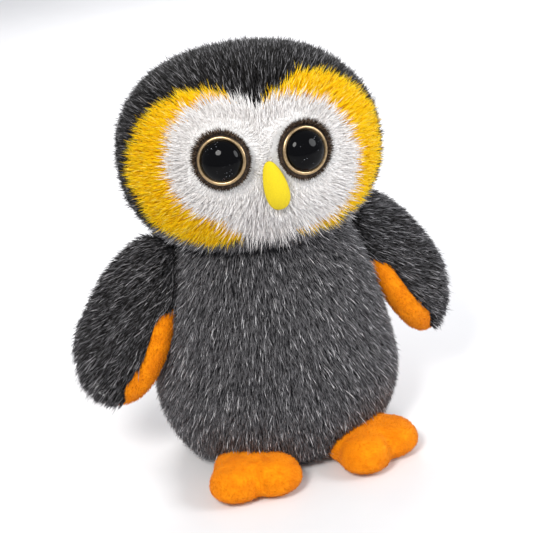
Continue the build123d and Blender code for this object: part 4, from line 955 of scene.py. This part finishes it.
def build_foot(side, sign):
    turn = sign * FOOT_SPLAY[side]
    verts, faces = foot_surface(sign, turn)
    foot = make_mesh(f"foot_pad_{side}", verts, faces, SLOT_MATERIALS["orange_fleece"])
    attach(foot, "body")
    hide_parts(f"foot_{side}")

    inside = np.array((sign * FOOT_CENTRE[0], FOOT_CENTRE[1], FOOT_INSIDE_Z))
    points, normals = surface_samples(verts, faces, FOOT_DENSITY, inside)
    keep = points[:, 2] > FOOT_PILE_LOW
    points, normals = points[keep], normals[keep]
    forward = np.array((math.sin(turn), -math.cos(turn), -FOOT_COMB_DROP))
    comb = tangent(normals, forward + rng.normal(0, FOOT_COMB_MESS, (len(points), 3)))
    grow(f"foot_pile_{side}", "body", "orange_fleece", points, normals, comb, **FOOT_PILE)


# ---------------------------------------------------------------- plain and inner parts
def dress_cad_nodes():
    """Gives every CAD node that still shows the finish of its material slot."""
    slots = {part["node"]: part["material_slot"] for part in frame["record"]["subparts"]}
    for node, piece in frame["nodes"].items():
        material = SLOT_MATERIALS.get(slots[node])
        if material and not piece.hide_render:
            piece.data.materials.clear()
            piece.data.materials.append(material)


# ---------------------------------------------------------------- camera, floor and light
CAMERA_AZIMUTH, CAMERA_ELEVATION, CAMERA_ROLL = math.radians(-14.0), math.radians(24.0), math.radians(7.5)
CAMERA_DISTANCE, LENS, SENSOR = 0.95, 97.3, 36.0
AIM = Vector((0.0, 0.0, 0.120))
SHIFT = (0.003, 0.0084)
FLOOR_HALF, FLOOR_Z = 3.0, -0.0002
WORLD_COLOUR, WORLD_STRENGTH = (0.93, 0.95, 1.0), 0.60


def add_camera():
    back = Vector((math.sin(CAMERA_AZIMUTH) * math.cos(CAMERA_ELEVATION),
                   -math.cos(CAMERA_AZIMUTH) * math.cos(CAMERA_ELEVATION), math.sin(CAMERA_ELEVATION)))
    camera_data = bpy.data.cameras.new("camera")
    camera_data.lens, camera_data.sensor_width = LENS, SENSOR
    camera_data.shift_x, camera_data.shift_y = SHIFT
    camera = bpy.data.objects.new("camera", camera_data)
    camera.location = AIM + back * CAMERA_DISTANCE
    facing = (-back).to_track_quat("-Z", "Y").to_matrix().to_4x4()
    camera.matrix_world = Matrix.Translation(camera.location) @ facing @ Matrix.Rotation(-CAMERA_ROLL, 4, "Z")
    bpy.context.scene.collection.objects.link(camera)
    bpy.context.scene.camera = camera


def add_light(name, place, size, energy, colour):
    light_data = bpy.data.lights.new(name, "AREA")
    light_data.shape = "DISK"
    light_data.size, light_data.energy, light_data.color = size, energy, colour
    light = bpy.data.objects.new(name, light_data)
    light.location = place
    light.rotation_euler = (AIM - Vector(place)).to_track_quat("-Z", "Y").to_euler()
    bpy.context.scene.collection.objects.link(light)


def add_stage():
    corners = [(x * FLOOR_HALF, y * FLOOR_HALF, FLOOR_Z) for x, y in ((-1, -1), (1, -1), (1, 1), (-1, 1))]
    floor_material = mottled_material("floor", (0.70, 0.695, 0.70), (0.74, 0.735, 0.74), 4, 0.6, bump=0.0)
    make_mesh("floor", corners, [(0, 1, 2, 3)], floor_material)
    world = bpy.data.worlds.new("studio")
    world.use_nodes = True
    set_inputs(world.node_tree.nodes["Background"], {"Color": (*WORLD_COLOUR, 1), "Strength": WORLD_STRENGTH})
    bpy.context.scene.world = world
    add_light("window", (-0.75, -0.9, 1.25), 0.55, 22.0, (1.0, 0.985, 0.96))
    add_light("fill", (1.1, -0.8, 0.8), 0.7, 14.0, (0.96, 0.98, 1.0))
    add_light("rim", (0.3, 1.1, 0.9), 0.8, 13.0, (1.0, 1.0, 1.0))
    bpy.context.scene.view_settings.view_transform = "Standard"


add_camera()
add_stage()
build_body()
build_head()
for side, sign in (("left", -1), ("right", 1)):
    build_wing(side, sign)
    build_foot(side, sign)
dress_cad_nodes()
